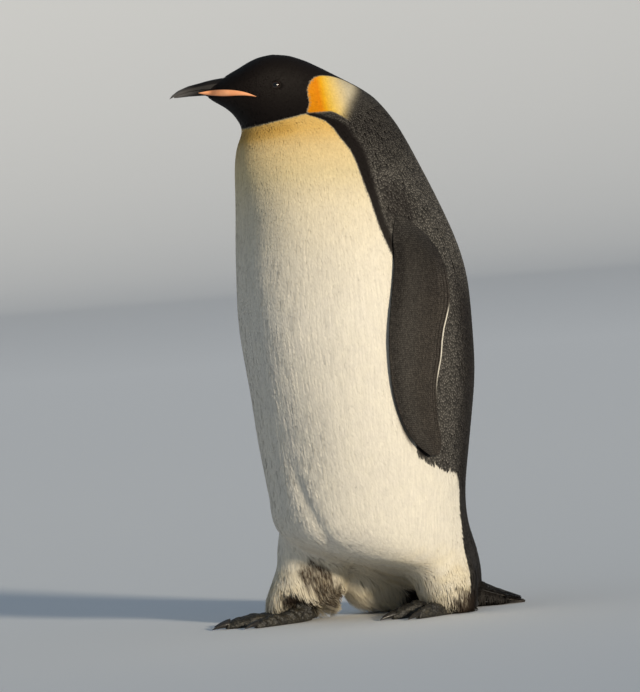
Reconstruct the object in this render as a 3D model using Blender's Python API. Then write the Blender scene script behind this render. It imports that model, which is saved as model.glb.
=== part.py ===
"""Emperor penguin, a still life-size model.

The bird walks with its right foot forward, neck drawn in and bill level.
It faces -Y, its left side is +X, and its feet and tail rest on the floor at z = 0.
Places on the bird are given as shares of the crown height, so that one size drives the rest.
The head is modelled facing -Y, and an empty on the neck's axis then turns it.
"""
import math

import bmesh
import bpy
import numpy as np
from mathutils import Matrix, Vector
from mathutils.bvhtree import BVHTree

# ---- driving sizes: metres and degrees, or shares of the crown height where a table says so
CROWN_HEIGHT = 0.95
GAP = 0.0003
HEAD_TURN = math.radians(-14)
NECK_AXIS_Y = -0.027
TRUNK_AXIS_Y = 0.02
BODY_SIDES = 28
RINGS_PER_STATION = 1.5
SQUARENESS = 2.15
BILL_SQUARENESS = 2.2
GAPE_HOLLOW = 0.06

# Stations of the body from the underside to the face, in shares of the crown height:
# breast point (y, z), back point (y, z), half width.
STATIONS = [
    (0.085, 0.058, 0.160, 0.030, 0.045),
    (0.020, 0.086, 0.209, 0.034, 0.100),
    (-0.098, 0.131, 0.218, 0.052, 0.142),
    (-0.146, 0.172, 0.210, 0.105, 0.163),
    (-0.148, 0.215, 0.191, 0.160, 0.171),
    (-0.153, 0.275, 0.195, 0.228, 0.177),
    (-0.158, 0.335, 0.206, 0.285, 0.184),
    (-0.164, 0.400, 0.220, 0.360, 0.190),
    (-0.172, 0.475, 0.230, 0.445, 0.196),
    (-0.178, 0.550, 0.231, 0.530, 0.198),
    (-0.176, 0.620, 0.224, 0.608, 0.194),
    (-0.170, 0.685, 0.205, 0.675, 0.183),
    (-0.168, 0.740, 0.181, 0.735, 0.166),
    (-0.169, 0.780, 0.158, 0.790, 0.147),
    (-0.168, 0.813, 0.134, 0.845, 0.124),
    (-0.162, 0.843, 0.107, 0.887, 0.102),
    (-0.148, 0.869, 0.080, 0.918, 0.083),
    (-0.153, 0.882, 0.038, 0.945, 0.066),
    (-0.160, 0.895, -0.007, 0.972, 0.057),
    (-0.168, 0.905, -0.048, 0.993, 0.053),
    (-0.180, 0.915, -0.088, 1.000, 0.050),
    (-0.190, 0.921, -0.119, 0.994, 0.044),
    (-0.200, 0.9265, -0.146, 0.980, 0.035),
    (-0.2045, 0.931, -0.170, 0.9695, 0.023),
    (-0.2035, 0.937, -0.181, 0.962, 0.011),
]
NECK_START = 13.0
HEAD_START = 16.5
FACE_END = len(STATIONS) - 1.0

# Flipper from its root in the shoulder to its tip, in shares of the crown height and degrees
# round the body from the breast: height, front edge, rear edge, thickness, gap to the body.
FLIPPER_STATIONS = [
    (0.708, 95, 108, 0.016, -0.016),
    (0.680, 92, 113, 0.017, -0.004),
    (0.640, 91, 117, 0.017, 0.002),
    (0.590, 88, 118, 0.016, 0.004),
    (0.540, 85, 115, 0.014, 0.005),
    (0.490, 83, 112.5, 0.012, 0.006),
    (0.440, 83, 110, 0.010, 0.006),
    (0.390, 84.5, 109, 0.009, 0.006),
    (0.345, 88.5, 109.5, 0.0075, 0.006),
    (0.312, 93.5, 111.5, 0.006, 0.007),
    (0.293, 99, 112, 0.0045, 0.008),
    (0.284, 103.5, 109.5, 0.003, 0.009),
]
FLIPPER_EDGE = 0.0011
FLIPPER_FULLNESS = 0.62
FLIPPER_RINGS = 18
FLIPPER_SPANS = 6

# Feathered legs as level rings, in shares: height, centre x, centre y, half width, half depth.
LEFT_LEG = [
    (0.005, 0.092, 0.122, 0.044, 0.038),
    (0.012, 0.092, 0.121, 0.052, 0.046),
    (0.040, 0.092, 0.122, 0.058, 0.052),
    (0.070, 0.090, 0.116, 0.061, 0.059),
    (0.100, 0.084, 0.106, 0.061, 0.066),
    (0.150, 0.074, 0.085, 0.048, 0.060),
]
RIGHT_LEG = [
    (0.020, -0.102, -0.104, 0.026, 0.038),
    (0.027, -0.099, -0.096, 0.036, 0.052),
    (0.040, -0.094, -0.080, 0.047, 0.066),
    (0.062, -0.089, -0.065, 0.056, 0.071),
    (0.100, -0.088, -0.045, 0.062, 0.072),
    (0.150, -0.085, -0.030, 0.070, 0.085),
]
RIGHT_FRINGE = [
    (0.018, -0.092, -0.034, 0.020, 0.012),
    (0.028, -0.092, -0.036, 0.032, 0.022),
    (0.060, -0.090, -0.036, 0.042, 0.034),
    (0.100, -0.088, -0.036, 0.048, 0.040),
]
RIGHT_FLANK = [
    (0.010, -0.094, 0.106, 0.026, 0.042),
    (0.019, -0.095, 0.096, 0.036, 0.060),
    (0.035, -0.095, 0.084, 0.045, 0.076),
    (0.060, -0.094, 0.080, 0.050, 0.086),
    (0.100, -0.090, 0.080, 0.058, 0.098),
    (0.150, -0.085, 0.090, 0.066, 0.090),
]

# Feet: where the heel rests (x, y shares), and the way the middle toe points from -Y, degrees.
FOOT_PLACES = {"left": (0.088, 0.156, 5.0), "right": (-0.083, -0.076, -5.0)}
FOOT_LENGTH = 0.150
INSTEP_HEIGHT = 0.033
TOE_HEIGHT = 0.0145
TOE_SQUARENESS = 2.3
TOE_ROOT_WIDTH = 1.15
TOE_TAPER = 0.42
TOE_FALL = 1.3
TOE_END = 0.86
TOE_BLUNTNESS = 0.75
SIDE_SHARE = 0.30
SOLE_SHARE = 0.6
KNUCKLES = 3
KNUCKLE_SWELL = 0.11
HEEL_LIFT = 0.0012
HEEL_SHARE = 0.2
# Toes from the inner to the outer one: spread in degrees, share of the foot's length, half width
# as a share of the crown height. Each degree of spread also sets a toe's root out, in metres.
TOES = {"inner": (-21.0, 0.80, 0.0120), "middle": (0.0, 1.00, 0.0135), "outer": (19.0, 0.90, 0.0125)}
TOE_FAN = 0.00036
# The shank, in shares: height, how far ahead of the heel, half width, half depth.
SHANK = [
    (0.004, -0.002, 0.0150, 0.0170),
    (0.010, 0.000, 0.0190, 0.0240),
    (0.028, 0.010, 0.0195, 0.0260),
    (0.046, 0.012, 0.0175, 0.0220),
    (0.064, 0.012, 0.0150, 0.0180),
]
WEB_START = 0.07
WEB_REACH = 0.86
WEB_SCALLOP = 0.13
WEB_FLOOR_GAP = 0.0012
WEB_THICKNESS = 0.0045
CLAW_START = 0.965
CLAW_LENGTH = 0.029
CLAW_RISE = 0.0068
CLAW_TAPER = 0.88
CLAW_THINNING = 1.3
CLAW_CURVE = 1.6
CLAW_TIP_LIFT = 0.0016
CLAW_FLOOR_GAP = 0.0004

# Tail feathers: shares of the crown height for where they start and end, then metres and degrees.
TAIL_ROOT_Y = 0.196
TAIL_TIP_Y = 0.313
TAIL_FEATHERS = 9
TAIL_SPREAD = 17.0
TAIL_FAN = 0.085
TAIL_HALF_WIDTH = 0.0125
TAIL_ROOT_DEPTH = 0.050
TAIL_TIP_DEPTH = 0.0050
TAIL_RIDGE = 0.0016
TAIL_OUTER_SHORTER = 0.22
TAIL_OUTER_LOWER = 0.35
TAIL_TAPER = 0.25
TAIL_TIP_SHARE = 0.17
TAIL_SLOPE = 1.15

# Bill sections from its tip back into the face, in shares: y, culmen z, gape z, half width.
UPPER_BILL = [
    (-0.2740, 0.9335, 0.9322, 0.0006),
    (-0.2690, 0.9392, 0.9345, 0.0024),
    (-0.2580, 0.9465, 0.9388, 0.0040),
    (-0.2400, 0.9530, 0.9428, 0.0056),
    (-0.2160, 0.9575, 0.9448, 0.0076),
    (-0.1950, 0.9620, 0.9452, 0.0098),
    (-0.1780, 0.9650, 0.9450, 0.0115),
    (-0.1620, 0.9620, 0.9460, 0.0100),
]
# Lower bill, in shares: y, gape z, underside z, half width.
LOWER_BILL = [
    (-0.2660, 0.9350, 0.9338, 0.0007),
    (-0.2590, 0.9375, 0.9338, 0.0026),
    (-0.2400, 0.9420, 0.9345, 0.0046),
    (-0.2160, 0.9440, 0.9342, 0.0066),
    (-0.1950, 0.9443, 0.9330, 0.0090),
    (-0.1780, 0.9440, 0.9320, 0.0105),
    (-0.1620, 0.9430, 0.9340, 0.0090),
]
# The coloured plate along the lower bill and cheek: y, z, half height, in shares.
PLATE_COURSE = [
    (-0.2215, 0.9408, 0.0008),
    (-0.2020, 0.9400, 0.0034),
    (-0.1820, 0.9392, 0.0046),
    (-0.1580, 0.9360, 0.0036),
    (-0.1375, 0.9312, 0.0020),
    (-0.1250, 0.9268, 0.0007),
]
PLATE_THICKNESS = 0.0030

EYE_RADIUS = 0.0088
EYE_PLACE = (-0.0930, 0.9462)
EYE_PROUD = 0.0026

# ---- colours: base colour, roughness
FINISHES = {
    "hood_feather": ((0.012, 0.010, 0.009), 0.75),
    "neck_feather": ((0.75, 0.55, 0.22), 0.80),
    "body_feather": ((0.72, 0.68, 0.58), 0.85),
    "leg_feather": ((0.66, 0.60, 0.50), 0.85),
    "flipper_feather": ((0.035, 0.032, 0.033), 0.65),
    "tail_feather": ((0.030, 0.026, 0.024), 0.60),
    "foot_skin": ((0.030, 0.030, 0.028), 0.60),
    "claw_horn": ((0.012, 0.010, 0.009), 0.35),
    "bill_horn": ((0.030, 0.032, 0.038), 0.35),
    "bill_plate": ((0.80, 0.33, 0.18), 0.40),
    "eye": ((0.006, 0.004, 0.003), 0.06),
}


def clear_scene():
    """Remove every object, so that the script can be run again."""
    for obj in list(bpy.data.objects):
        bpy.data.objects.remove(obj, do_unlink=True)


def new_collection(name):
    """Add a collection to the scene."""
    collection = bpy.data.collections.new(name)
    bpy.context.scene.collection.children.link(collection)
    return collection


def finish(name):
    """Make, or find, the Principled material of this name."""
    material = bpy.data.materials.get(name)
    if material is None:
        colour, roughness = FINISHES[name]
        material = bpy.data.materials.new(name)
        material.use_nodes = True
        shader = material.node_tree.nodes["Principled BSDF"]
        shader.inputs["Base Color"].default_value = (*colour, 1.0)
        shader.inputs["Roughness"].default_value = roughness
        shader.inputs["Metallic"].default_value = 0.0
        material.diffuse_color = (*colour, 1.0)
    return material


def curve_at(table, place):
    """Read a table of stations at a place between its rows, along a smooth curve."""
    table = np.asarray(table, dtype=float)
    last = len(table) - 1
    row = min(int(place), last - 1)
    t = place - row
    before = table[max(row - 1, 0)]
    start = table[row]
    end = table[row + 1]
    after = table[min(row + 2, last)]
    slope_in = (end - before) / 2
    slope_out = (after - start) / 2
    return ((2 * t**3 - 3 * t**2 + 1) * start + (t**3 - 2 * t**2 + t) * slope_in
            + (3 * t**2 - 2 * t**3) * end + (t**3 - t**2) * slope_out)


def oval(angle, half_across, half_along, squareness=SQUARENESS):
    """A point of a superellipse: its places across and along, angle 0 at the along side."""
    across = math.copysign(abs(math.sin(angle)) ** (2 / squareness), math.sin(angle))
    along = math.copysign(abs(math.cos(angle)) ** (2 / squareness), math.cos(angle))
    return half_across * across, half_along * along


def body_ring(place, sides=BODY_SIDES, grow=0.0, slide=0.0):
    """The body's section at a station, as points in metres.

    grow moves the surface out, and slide moves the whole ring along its own axis.
    """
    breast_y, breast_z, back_y, back_z, half_width = curve_at(STATIONS, place) * CROWN_HEIGHT
    breast = Vector((0, breast_y, breast_z))
    back = Vector((0, back_y, back_z))
    centre = (breast + back) / 2
    forward = (breast - back).normalized()
    axis = forward.cross(Vector((1, 0, 0)))
    half_depth = (breast - back).length / 2
    points = []
    for step in range(sides):
        angle = 2 * math.pi * step / sides
        across, along = oval(angle, half_width + grow, half_depth + grow)
        points.append(centre + Vector((across, 0, 0)) + forward * along + axis * slide)
    return points


def neck_share(place):
    """How much of the head's turn the neck has taken at a station, from 0 to 1."""
    t = (place - NECK_START) / (HEAD_START - NECK_START)
    t = min(max(t, 0.0), 1.0)
    return t * t * (3 - 2 * t)


def turned(points, share):
    """Turn points about the neck's upright axis by a share of the head's turn."""
    pivot = Vector((0, NECK_AXIS_Y * CROWN_HEIGHT, 0))
    turn = Matrix.Rotation(HEAD_TURN * share, 3, "Z")
    return [pivot + turn @ (point - pivot) for point in points]


def level_ring(centre, half_x, half_y, sides, squareness=SQUARENESS):
    """A level superellipse round a centre."""
    points = []
    for step in range(sides):
        angle = 2 * math.pi * step / sides
        x, y = oval(angle, half_x, half_y, squareness)
        points.append(centre + Vector((x, y, 0)))
    return points


def skin_rings(mesh, rings):
    """Join rings of equal count into a closed tube in a bmesh."""
    loops = [[mesh.verts.new(point) for point in ring] for ring in rings]
    count = len(rings[0])
    for lower, upper in zip(loops, loops[1:]):
        for i in range(count):
            j = (i + 1) % count
            mesh.faces.new((lower[i], lower[j], upper[j], upper[i]))
    mesh.faces.new(loops[0])
    mesh.faces.new(loops[-1])
    bmesh.ops.triangulate(mesh, faces=mesh.faces)
    bmesh.ops.recalc_face_normals(mesh, faces=mesh.faces)


def add_object(name, mesh, material, collection):
    """Turn a bmesh into a named object with its own material."""
    data = bpy.data.meshes.new(name)
    mesh.to_mesh(data)
    mesh.free()
    data.shade_smooth()
    data.set_sharp_from_angle(angle=math.radians(50))
    data.materials.append(finish(material))
    obj = bpy.data.objects.new(name, data)
    collection.objects.link(obj)
    return obj


def loft(name, rings, material, collection):
    """Make an object by skinning rings."""
    mesh = bmesh.new()
    skin_rings(mesh, rings)
    return add_object(name, mesh, material, collection)


def hide(obj):
    """Mark an object as a cutter, drawn as wire and left out of the model."""
    obj.hide_render = True
    obj.display_type = "WIRE"
    return obj


def boolean(obj, other, operation):
    """Join another object to this one, or cut it away."""
    modifier = obj.modifiers.new(f"{operation.lower()}_{other.name}", "BOOLEAN")
    modifier.operation = operation
    modifier.solver = "EXACT"
    modifier.object = other


def body_places(start, end):
    """Evenly spaced stations between two others, both included."""
    steps = max(1, round((end - start) * RINGS_PER_STATION))
    return [start + (end - start) * step / steps for step in range(steps + 1)]


def fine_body_rings(start, end):
    """Finely divided rings of part of the body, before the head's turn."""
    return [body_ring(place, sides=96) for place in body_places(start, end)]


def surface_of(rings):
    """A closed surface through rings, to measure places on."""
    mesh = bmesh.new()
    skin_rings(mesh, rings)
    tree = BVHTree.FromBMesh(mesh)
    mesh.free()
    return tree


def on_trunk(tree, height, degrees, lift):
    """The point on the trunk at a height and an angle round it from the breast, lifted off."""
    axis = Vector((0, TRUNK_AXIS_Y * CROWN_HEIGHT, height * CROWN_HEIGHT))
    angle = math.radians(degrees)
    outward = Vector((math.sin(angle), -math.cos(angle), 0))
    point, normal, _, _ = tree.ray_cast(axis + outward * CROWN_HEIGHT, -outward)
    return point + normal * lift * CROWN_HEIGHT


def on_head(tree, y, z, side, lift):
    """The point on the head's side at a height and length, lifted off, before the turn."""
    start = Vector((side * CROWN_HEIGHT, y * CROWN_HEIGHT, z * CROWN_HEIGHT))
    point, normal, _, _ = tree.ray_cast(start, Vector((-side, 0, 0)))
    return point + normal * lift


def make_trunk(parts):
    """The trunk, from the underside between the legs to the base of the neck."""
    rings = [body_ring(place) for place in body_places(0, NECK_START)]
    return loft("trunk", rings, "body_feather", parts)


def make_trunk_cutter(cutters):
    """The trunk grown by the gap, to fit its neighbours to it."""
    rings = [body_ring(place, grow=GAP) for place in body_places(0, NECK_START)]
    return hide(loft("trunk_cutter", rings, "body_feather", cutters))


def make_neck(parts):
    """The neck, which takes up the head's turn on its way."""
    rings = [body_ring(NECK_START, slide=GAP)]
    for place in body_places(NECK_START, HEAD_START)[1:]:
        rings.append(turned(body_ring(place), neck_share(place)))
    return loft("neck", rings, "neck_feather", parts)


def make_head(parts):
    """The head, up to where the face's feathers meet the bill."""
    rings = [body_ring(HEAD_START, slide=GAP)]
    rings += [body_ring(place) for place in body_places(HEAD_START, FACE_END)[1:]]
    return loft("head", rings, "hood_feather", parts)


def half_bill_ring(y, flat_z, curved_z, half_width, sides=12):
    """A section of one half of the bill: slightly hollow on the gape side, round on the other."""
    rise = curved_z - flat_z
    points = []
    for step in range(sides):
        angle = 2 * math.pi * step / sides
        x, along = oval(angle, half_width, 1.0, BILL_SQUARENESS)
        z = flat_z + rise * (along if along > 0 else -GAPE_HOLLOW * along)
        points.append(Vector((x, y, z)))
    return points


def bill_rings(table, flat_column):
    """The rings of one half of the bill, read along its table."""
    rings = []
    for row in range(len(table)):
        y, upper_z, lower_z, half_width = np.array(table[row]) * CROWN_HEIGHT
        flat_z, curved_z = (lower_z, upper_z) if flat_column == "lower" else (upper_z, lower_z)
        rings.append(half_bill_ring(y, flat_z, curved_z, half_width))
    return rings


def bill_seat_rings(sides=12):
    """Rings round both halves of the bill at its base, grown by the gap, to seat it in the face."""
    rings = []
    for upper_row, lower_row in zip(UPPER_BILL[3:], LOWER_BILL[2:]):
        y, culmen_z, upper_gape_z, half_width = np.array(upper_row) * CROWN_HEIGHT
        _, lower_gape_z, underside_z, _ = np.array(lower_row) * CROWN_HEIGHT
        if upper_row is UPPER_BILL[-1]:
            y += GAP
        points = []
        for corner in range(sides):
            angle = 2 * math.pi * corner / sides
            across, along = oval(angle, half_width + GAP, 1.0, BILL_SQUARENESS)
            if along > 0:
                z = upper_gape_z + (culmen_z - upper_gape_z + GAP) * along
            else:
                z = lower_gape_z + (lower_gape_z - underside_z + GAP) * along
            points.append(Vector((across, y, z)))
        rings.append(points)
    return rings


def make_bill(parts):
    """The upper and lower halves of the bill."""
    upper = loft("bill_upper", bill_rings(UPPER_BILL, "lower"), "bill_horn", parts)
    lower = loft("bill_lower", bill_rings(LOWER_BILL, "upper"), "bill_horn", parts)
    return upper, lower


def plate_rings(trees, side, grow=0.0, sides=8):
    """Rings of the coloured plate, half sunk in the bill's side and the cheek."""
    rings = []
    places = []
    for y, z, half_height in PLATE_COURSE:
        hits = []
        for tree in trees:
            start = Vector((side * CROWN_HEIGHT, y * CROWN_HEIGHT, z * CROWN_HEIGHT))
            point = tree.ray_cast(start, Vector((-side, 0, 0)))[0]
            if point is not None:
                hits.append(abs(point.x))
        places.append((max(hits), y * CROWN_HEIGHT, z * CROWN_HEIGHT, half_height * CROWN_HEIGHT))
    for index, (x, y, z, half_height) in enumerate(places):
        y += -grow if index == 0 else grow if index == len(places) - 1 else 0
        points = []
        for corner in range(sides):
            angle = 2 * math.pi * corner / sides
            across, along = oval(angle, PLATE_THICKNESS / 2 + grow, half_height + grow, 2.0)
            points.append(Vector((side * x + across, y, z + along)))
        rings.append(points)
    return rings


def make_plates(trees, parts, cutters):
    """The orange plate on each side of the lower bill."""
    pieces = []
    for name, side in (("left", 1), ("right", -1)):
        piece = loft(f"bill_plate_{name}", plate_rings(trees, side), "bill_plate", parts)
        rings = plate_rings(trees, side, GAP)
        cutter = hide(loft(f"bill_plate_{name}_cutter", rings, "bill_plate", cutters))
        pieces.append((piece, cutter))
    return pieces


def ball(name, centre, radius, material, collection, segments=12):
    """A sphere about a centre."""
    mesh = bmesh.new()
    place = Matrix.Translation(centre)
    bmesh.ops.create_uvsphere(mesh, u_segments=segments, v_segments=segments // 2,
                              radius=radius, matrix=place)
    return add_object(name, mesh, material, collection)


def make_eyes(tree, parts, cutters):
    """The eyes, sunk in the head's sides."""
    pieces = []
    for name, side in (("left", 1), ("right", -1)):
        centre = on_head(tree, *EYE_PLACE, side, EYE_PROUD - EYE_RADIUS)
        piece = ball(f"eye_{name}", centre, EYE_RADIUS, "eye", parts)
        cutter = ball(f"eye_{name}_cutter", centre, EYE_RADIUS + GAP, "eye", cutters)
        pieces.append((piece, hide(cutter)))
    return pieces


def flipper_section(tree, station, side):
    """A closed section of the flipper: thick and round in front, thin behind."""
    height, front, rear, thickness, lift = station
    chords = [step / FLIPPER_SPANS for step in range(FLIPPER_SPANS + 1)]
    offsets = []
    for chord in chords:
        bulge = math.sin(math.pi * chord ** FLIPPER_FULLNESS)
        offsets.append((chord, lift + FLIPPER_EDGE / 2 + thickness * bulge))
    for chord in reversed(chords):
        offsets.append((chord, lift - FLIPPER_EDGE / 2))
    ring = []
    for chord, offset in offsets:
        point = on_trunk(tree, height, front + (rear - front) * chord, offset)
        point.x *= side
        ring.append(point)
    return ring


def make_flippers(tree, trunk_cutter, parts):
    """The two flippers, held against the flanks."""
    places = np.linspace(0, len(FLIPPER_STATIONS) - 1, FLIPPER_RINGS)
    for name, side in (("left", 1), ("right", -1)):
        rings = [flipper_section(tree, curve_at(FLIPPER_STATIONS, place), side)
                 for place in places]
        flipper = loft(f"flipper_{name}", rings, "flipper_feather", parts)
        boolean(flipper, trunk_cutter, "DIFFERENCE")


def leg_rings(table, grow=0.0, sides=16):
    """Level rings of one feathered leg."""
    rings = []
    for row in table:
        z, x, y, half_x, half_y = np.array(row) * CROWN_HEIGHT
        rings.append(level_ring(Vector((x, y, z)), half_x + grow, half_y + grow, sides))
    return rings


def make_legs(trunk_cutter, foot_cutters, parts, cutters):
    """The feathered legs and flanks, fitted under the trunk and round the feet."""
    left = loft("leg_left", leg_rings(LEFT_LEG), "leg_feather", parts)
    right = loft("leg_right", leg_rings(RIGHT_LEG), "leg_feather", parts)
    for name, table in (("flank_right", RIGHT_FLANK), ("fringe_right", RIGHT_FRINGE)):
        boolean(right, hide(loft(name, leg_rings(table), "leg_feather", cutters)), "UNION")
    for leg, side in ((left, "left"), (right, "right")):
        boolean(leg, trunk_cutter, "DIFFERENCE")
        for cutter in foot_cutters[side]:
            boolean(leg, cutter, "DIFFERENCE")


def toe_course(side_name, toe):
    """Where a toe starts, the ways along and across it, its length and its half width."""
    x, y, heading = FOOT_PLACES[side_name]
    spread, share, half_width = TOES[toe]
    outward = 1 if side_name == "left" else -1
    angle = math.radians(heading + outward * spread)
    along = Vector((math.sin(angle), -math.cos(angle), 0))
    across = Vector((math.cos(angle), math.sin(angle), 0))
    start = Vector((x, y, 0)) * CROWN_HEIGHT + Vector((outward * spread * TOE_FAN, 0, 0))
    return start, along, across, FOOT_LENGTH * share * CROWN_HEIGHT, half_width * CROWN_HEIGHT


def toe_rings(course, grow, sides=10, steps=9):
    """Rings of one toe: flat beneath, swollen at its joints, tapering to the claw.

    Its sides are widest at SIDE_SHARE of its height, and everything lower than SOLE_SHARE of the
    way down from there is flattened onto the sole. The sole lies on the floor except at the
    heel, where the toes run together a little higher.
    """
    start, along, across, length, half_width = course
    rings = []
    for step in range(steps + 1):
        t = step / steps
        knuckle = 1 + KNUCKLE_SWELL * math.cos(2 * math.pi * KNUCKLES * t)
        tip = math.sqrt(1 - TOE_BLUNTNESS * max(0.0, (t - TOE_END) / (1 - TOE_END)) ** 2)
        wide = half_width * knuckle * (TOE_ROOT_WIDTH - TOE_TAPER * t) * tip + grow
        slope = TOE_HEIGHT + (INSTEP_HEIGHT - TOE_HEIGHT) * (1 - t) ** TOE_FALL
        high = slope * knuckle * tip * CROWN_HEIGHT + 2 * grow
        sole = HEEL_LIFT * max(0.0, 1 - t / HEEL_SHARE) * (1 + abs(along.x)) - grow
        end_grow = -grow if step == 0 else grow if step == steps else 0
        centre = start + along * (length * t + end_grow)
        ring = []
        for corner in range(sides):
            angle = 2 * math.pi * (corner + 0.5) / sides
            x, rise = oval(angle, wide, 1.0, TOE_SQUARENESS)
            if rise > 0:
                share = SIDE_SHARE + (1 - SIDE_SHARE) * rise
            else:
                share = SIDE_SHARE * max(0.0, 1 + rise / SOLE_SHARE)
            ring.append(centre + across * x + Vector((0, 0, sole + high * share)))
        rings.append(ring)
    return rings


def web_rings(side_name, grow):
    """Upright rings across the web from toe to toe: a thin slab just off the floor.

    Its front edge is scalloped, as each ring midway between two toes is shorter.
    """
    edges = []
    for toe in TOES:
        start, along, _, length, _ = toe_course(side_name, toe)
        edges.append((start + along * length * WEB_START, start + along * length * WEB_REACH))
    inner, middle, outer = edges
    lines = [inner]
    for near, far in ((inner, middle), (middle, outer)):
        back = (near[0] + far[0]) / 2
        front = (near[1] + far[1]) / 2
        lines += [(back, front + (back - front) * WEB_SCALLOP), far]
    bottom = WEB_FLOOR_GAP - grow
    top = WEB_FLOOR_GAP + WEB_THICKNESS + grow
    rings = []
    for back, front in lines:
        ahead = (front - back).normalized() * grow
        corners = ((back - ahead, bottom), (back - ahead, top), (front + ahead, top),
                   (front + ahead, bottom))
        rings.append([Vector((point.x, point.y, z)) for point, z in corners])
    return rings


def shank_rings(side_name, grow, sides=12):
    """Rings of the short scaled shank that rises from the heel into the leg's feathers."""
    x, heel_y, _ = FOOT_PLACES[side_name]
    rings = []
    for row in SHANK:
        z, ahead, half_x, half_y = np.array(row) * CROWN_HEIGHT
        end_grow = -grow if row is SHANK[0] else grow if row is SHANK[-1] else 0
        centre = Vector((x * CROWN_HEIGHT, heel_y * CROWN_HEIGHT - ahead, z + end_grow))
        rings.append(level_ring(centre, half_x + grow, half_y + grow, sides))
    return rings


def claw_rings(course, sides=8, steps=4):
    """Rings of one claw: a strong curved cone whose point comes down near the floor."""
    start, along, across, length, half_width = course
    base = start + along * (length * CLAW_START)
    rings = []
    for step in range(steps + 1):
        t = step / steps
        radius = half_width / 2 * (1 - CLAW_TAPER * t ** CLAW_THINNING)
        height = max(CLAW_TIP_LIFT + CLAW_RISE * (1 - t ** CLAW_CURVE), radius + CLAW_FLOOR_GAP)
        centre = base + along * CLAW_LENGTH * t + Vector((0, 0, height))
        ring = []
        for corner in range(sides):
            angle = 2 * math.pi * corner / sides
            ring.append(centre + across * math.sin(angle) * radius
                        + Vector((0, 0, math.cos(angle) * radius)))
        rings.append(ring)
    return rings


def make_foot(side_name, trunk_cutter, parts, cutters):
    """One foot, three webbed toes on a short shank, with a claw on each toe.

    Gives back the foot's shapes grown by the gap, to fit the leg's feathers round them.
    """
    foot = loft(f"foot_{side_name}", shank_rings(side_name, 0.0), "foot_skin", parts)
    grown = [loft(f"shank_{side_name}_cutter", shank_rings(side_name, GAP), "foot_skin", cutters)]
    for toe in TOES:
        name = f"{side_name}_{toe}"
        course = toe_course(side_name, toe)
        piece = loft(f"toe_{name}", toe_rings(course, 0.0), "foot_skin", cutters)
        boolean(foot, hide(piece), "UNION")
        cutter = loft(f"toe_{name}_cutter", toe_rings(course, GAP), "foot_skin", cutters)
        claw = loft(f"claw_{name}", claw_rings(course), "claw_horn", parts)
        boolean(claw, cutter, "DIFFERENCE")
        grown.append(cutter)
    web = loft(f"web_{side_name}", web_rings(side_name, 0.0), "foot_skin", cutters)
    boolean(foot, hide(web), "UNION")
    grown.append(loft(f"web_{side_name}_cutter", web_rings(side_name, GAP), "foot_skin", cutters))
    boolean(foot, trunk_cutter, "DIFFERENCE")
    return [hide(cutter) for cutter in grown]


def tail_feather_rings(spread, rank, steps=4):
    """Rings of one stiff tail feather, deep at its root and thin at its tip on the floor.

    rank runs from -1 to 1 across the tail, and the outer feathers are shorter and lower.
    """
    root = Vector((spread * TAIL_FAN, TAIL_ROOT_Y * CROWN_HEIGHT, 0))
    reach = (TAIL_TIP_Y - TAIL_ROOT_Y) * CROWN_HEIGHT * (1 - TAIL_OUTER_SHORTER * rank ** 2)
    heading = Vector((math.sin(spread), math.cos(spread), 0))
    across = Vector((math.cos(spread), -math.sin(spread), 0))
    rings = []
    for step in range(steps + 1):
        t = step / steps
        rounding = max(TAIL_TIP_SHARE, math.sqrt(1 - t ** 4))
        half_width = TAIL_HALF_WIDTH * (1 - TAIL_TAPER * t) * rounding
        depth = TAIL_ROOT_DEPTH * (1 - TAIL_OUTER_LOWER * rank ** 2)
        edge = TAIL_TIP_DEPTH + depth * (1 - t) ** TAIL_SLOPE
        crest = edge + TAIL_RIDGE
        centre = root + heading * reach * t
        corners = ((-1, 0), (1, 0), (1, edge), (0, crest), (-1, edge))
        rings.append([centre + across * half_width * x + Vector((0, 0, z)) for x, z in corners])
    return rings


def make_tail(fitted_to, parts, cutters):
    """The tail, a wedge of stiff feathers whose ends lie on the floor."""
    middle = (TAIL_FEATHERS - 1) / 2
    tail = None
    for index in range(TAIL_FEATHERS):
        rank = (index - middle) / middle
        rings = tail_feather_rings(math.radians(rank * TAIL_SPREAD), rank)
        if tail is None:
            tail = loft("tail", rings, "tail_feather", parts)
        else:
            feather = loft(f"tail_feather_{index}", rings, "tail_feather", cutters)
            boolean(tail, hide(feather), "UNION")
    for cutter in fitted_to:
        boolean(tail, cutter, "DIFFERENCE")


def make_head_group(parts, cutters):
    """The head with its bill, plates and eyes, each seated in a socket cut for it."""
    head = make_head(parts)
    upper_bill, lower_bill = make_bill(parts)
    seat = hide(loft("bill_seat_cutter", bill_seat_rings(), "bill_horn", cutters))
    boolean(head, seat, "DIFFERENCE")
    head_surface = surface_of(fine_body_rings(HEAD_START - 1, FACE_END))
    bill_surface = surface_of(bill_rings(LOWER_BILL, "upper"))
    plates = make_plates([head_surface, bill_surface], parts, cutters)
    eyes = make_eyes(head_surface, parts, cutters)
    pieces = [head, upper_bill, lower_bill, seat]
    for piece, cutter in plates + eyes:
        boolean(head, cutter, "DIFFERENCE")
        pieces += [piece, cutter]
    for _, cutter in plates:
        boolean(lower_bill, cutter, "DIFFERENCE")
    turn_head(pieces)


def turn_head(pieces):
    """Hang the head's pieces on an empty on the neck's axis, and turn that."""
    pivot = Vector((0, NECK_AXIS_Y * CROWN_HEIGHT, 0))
    empty = bpy.data.objects.new("head_turn", None)
    bpy.context.scene.collection.objects.link(empty)
    empty.location = pivot
    empty.rotation_euler = (0, 0, HEAD_TURN)
    for piece in pieces:
        piece.parent = empty
        piece.matrix_parent_inverse = Matrix.Translation(-pivot)


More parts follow.
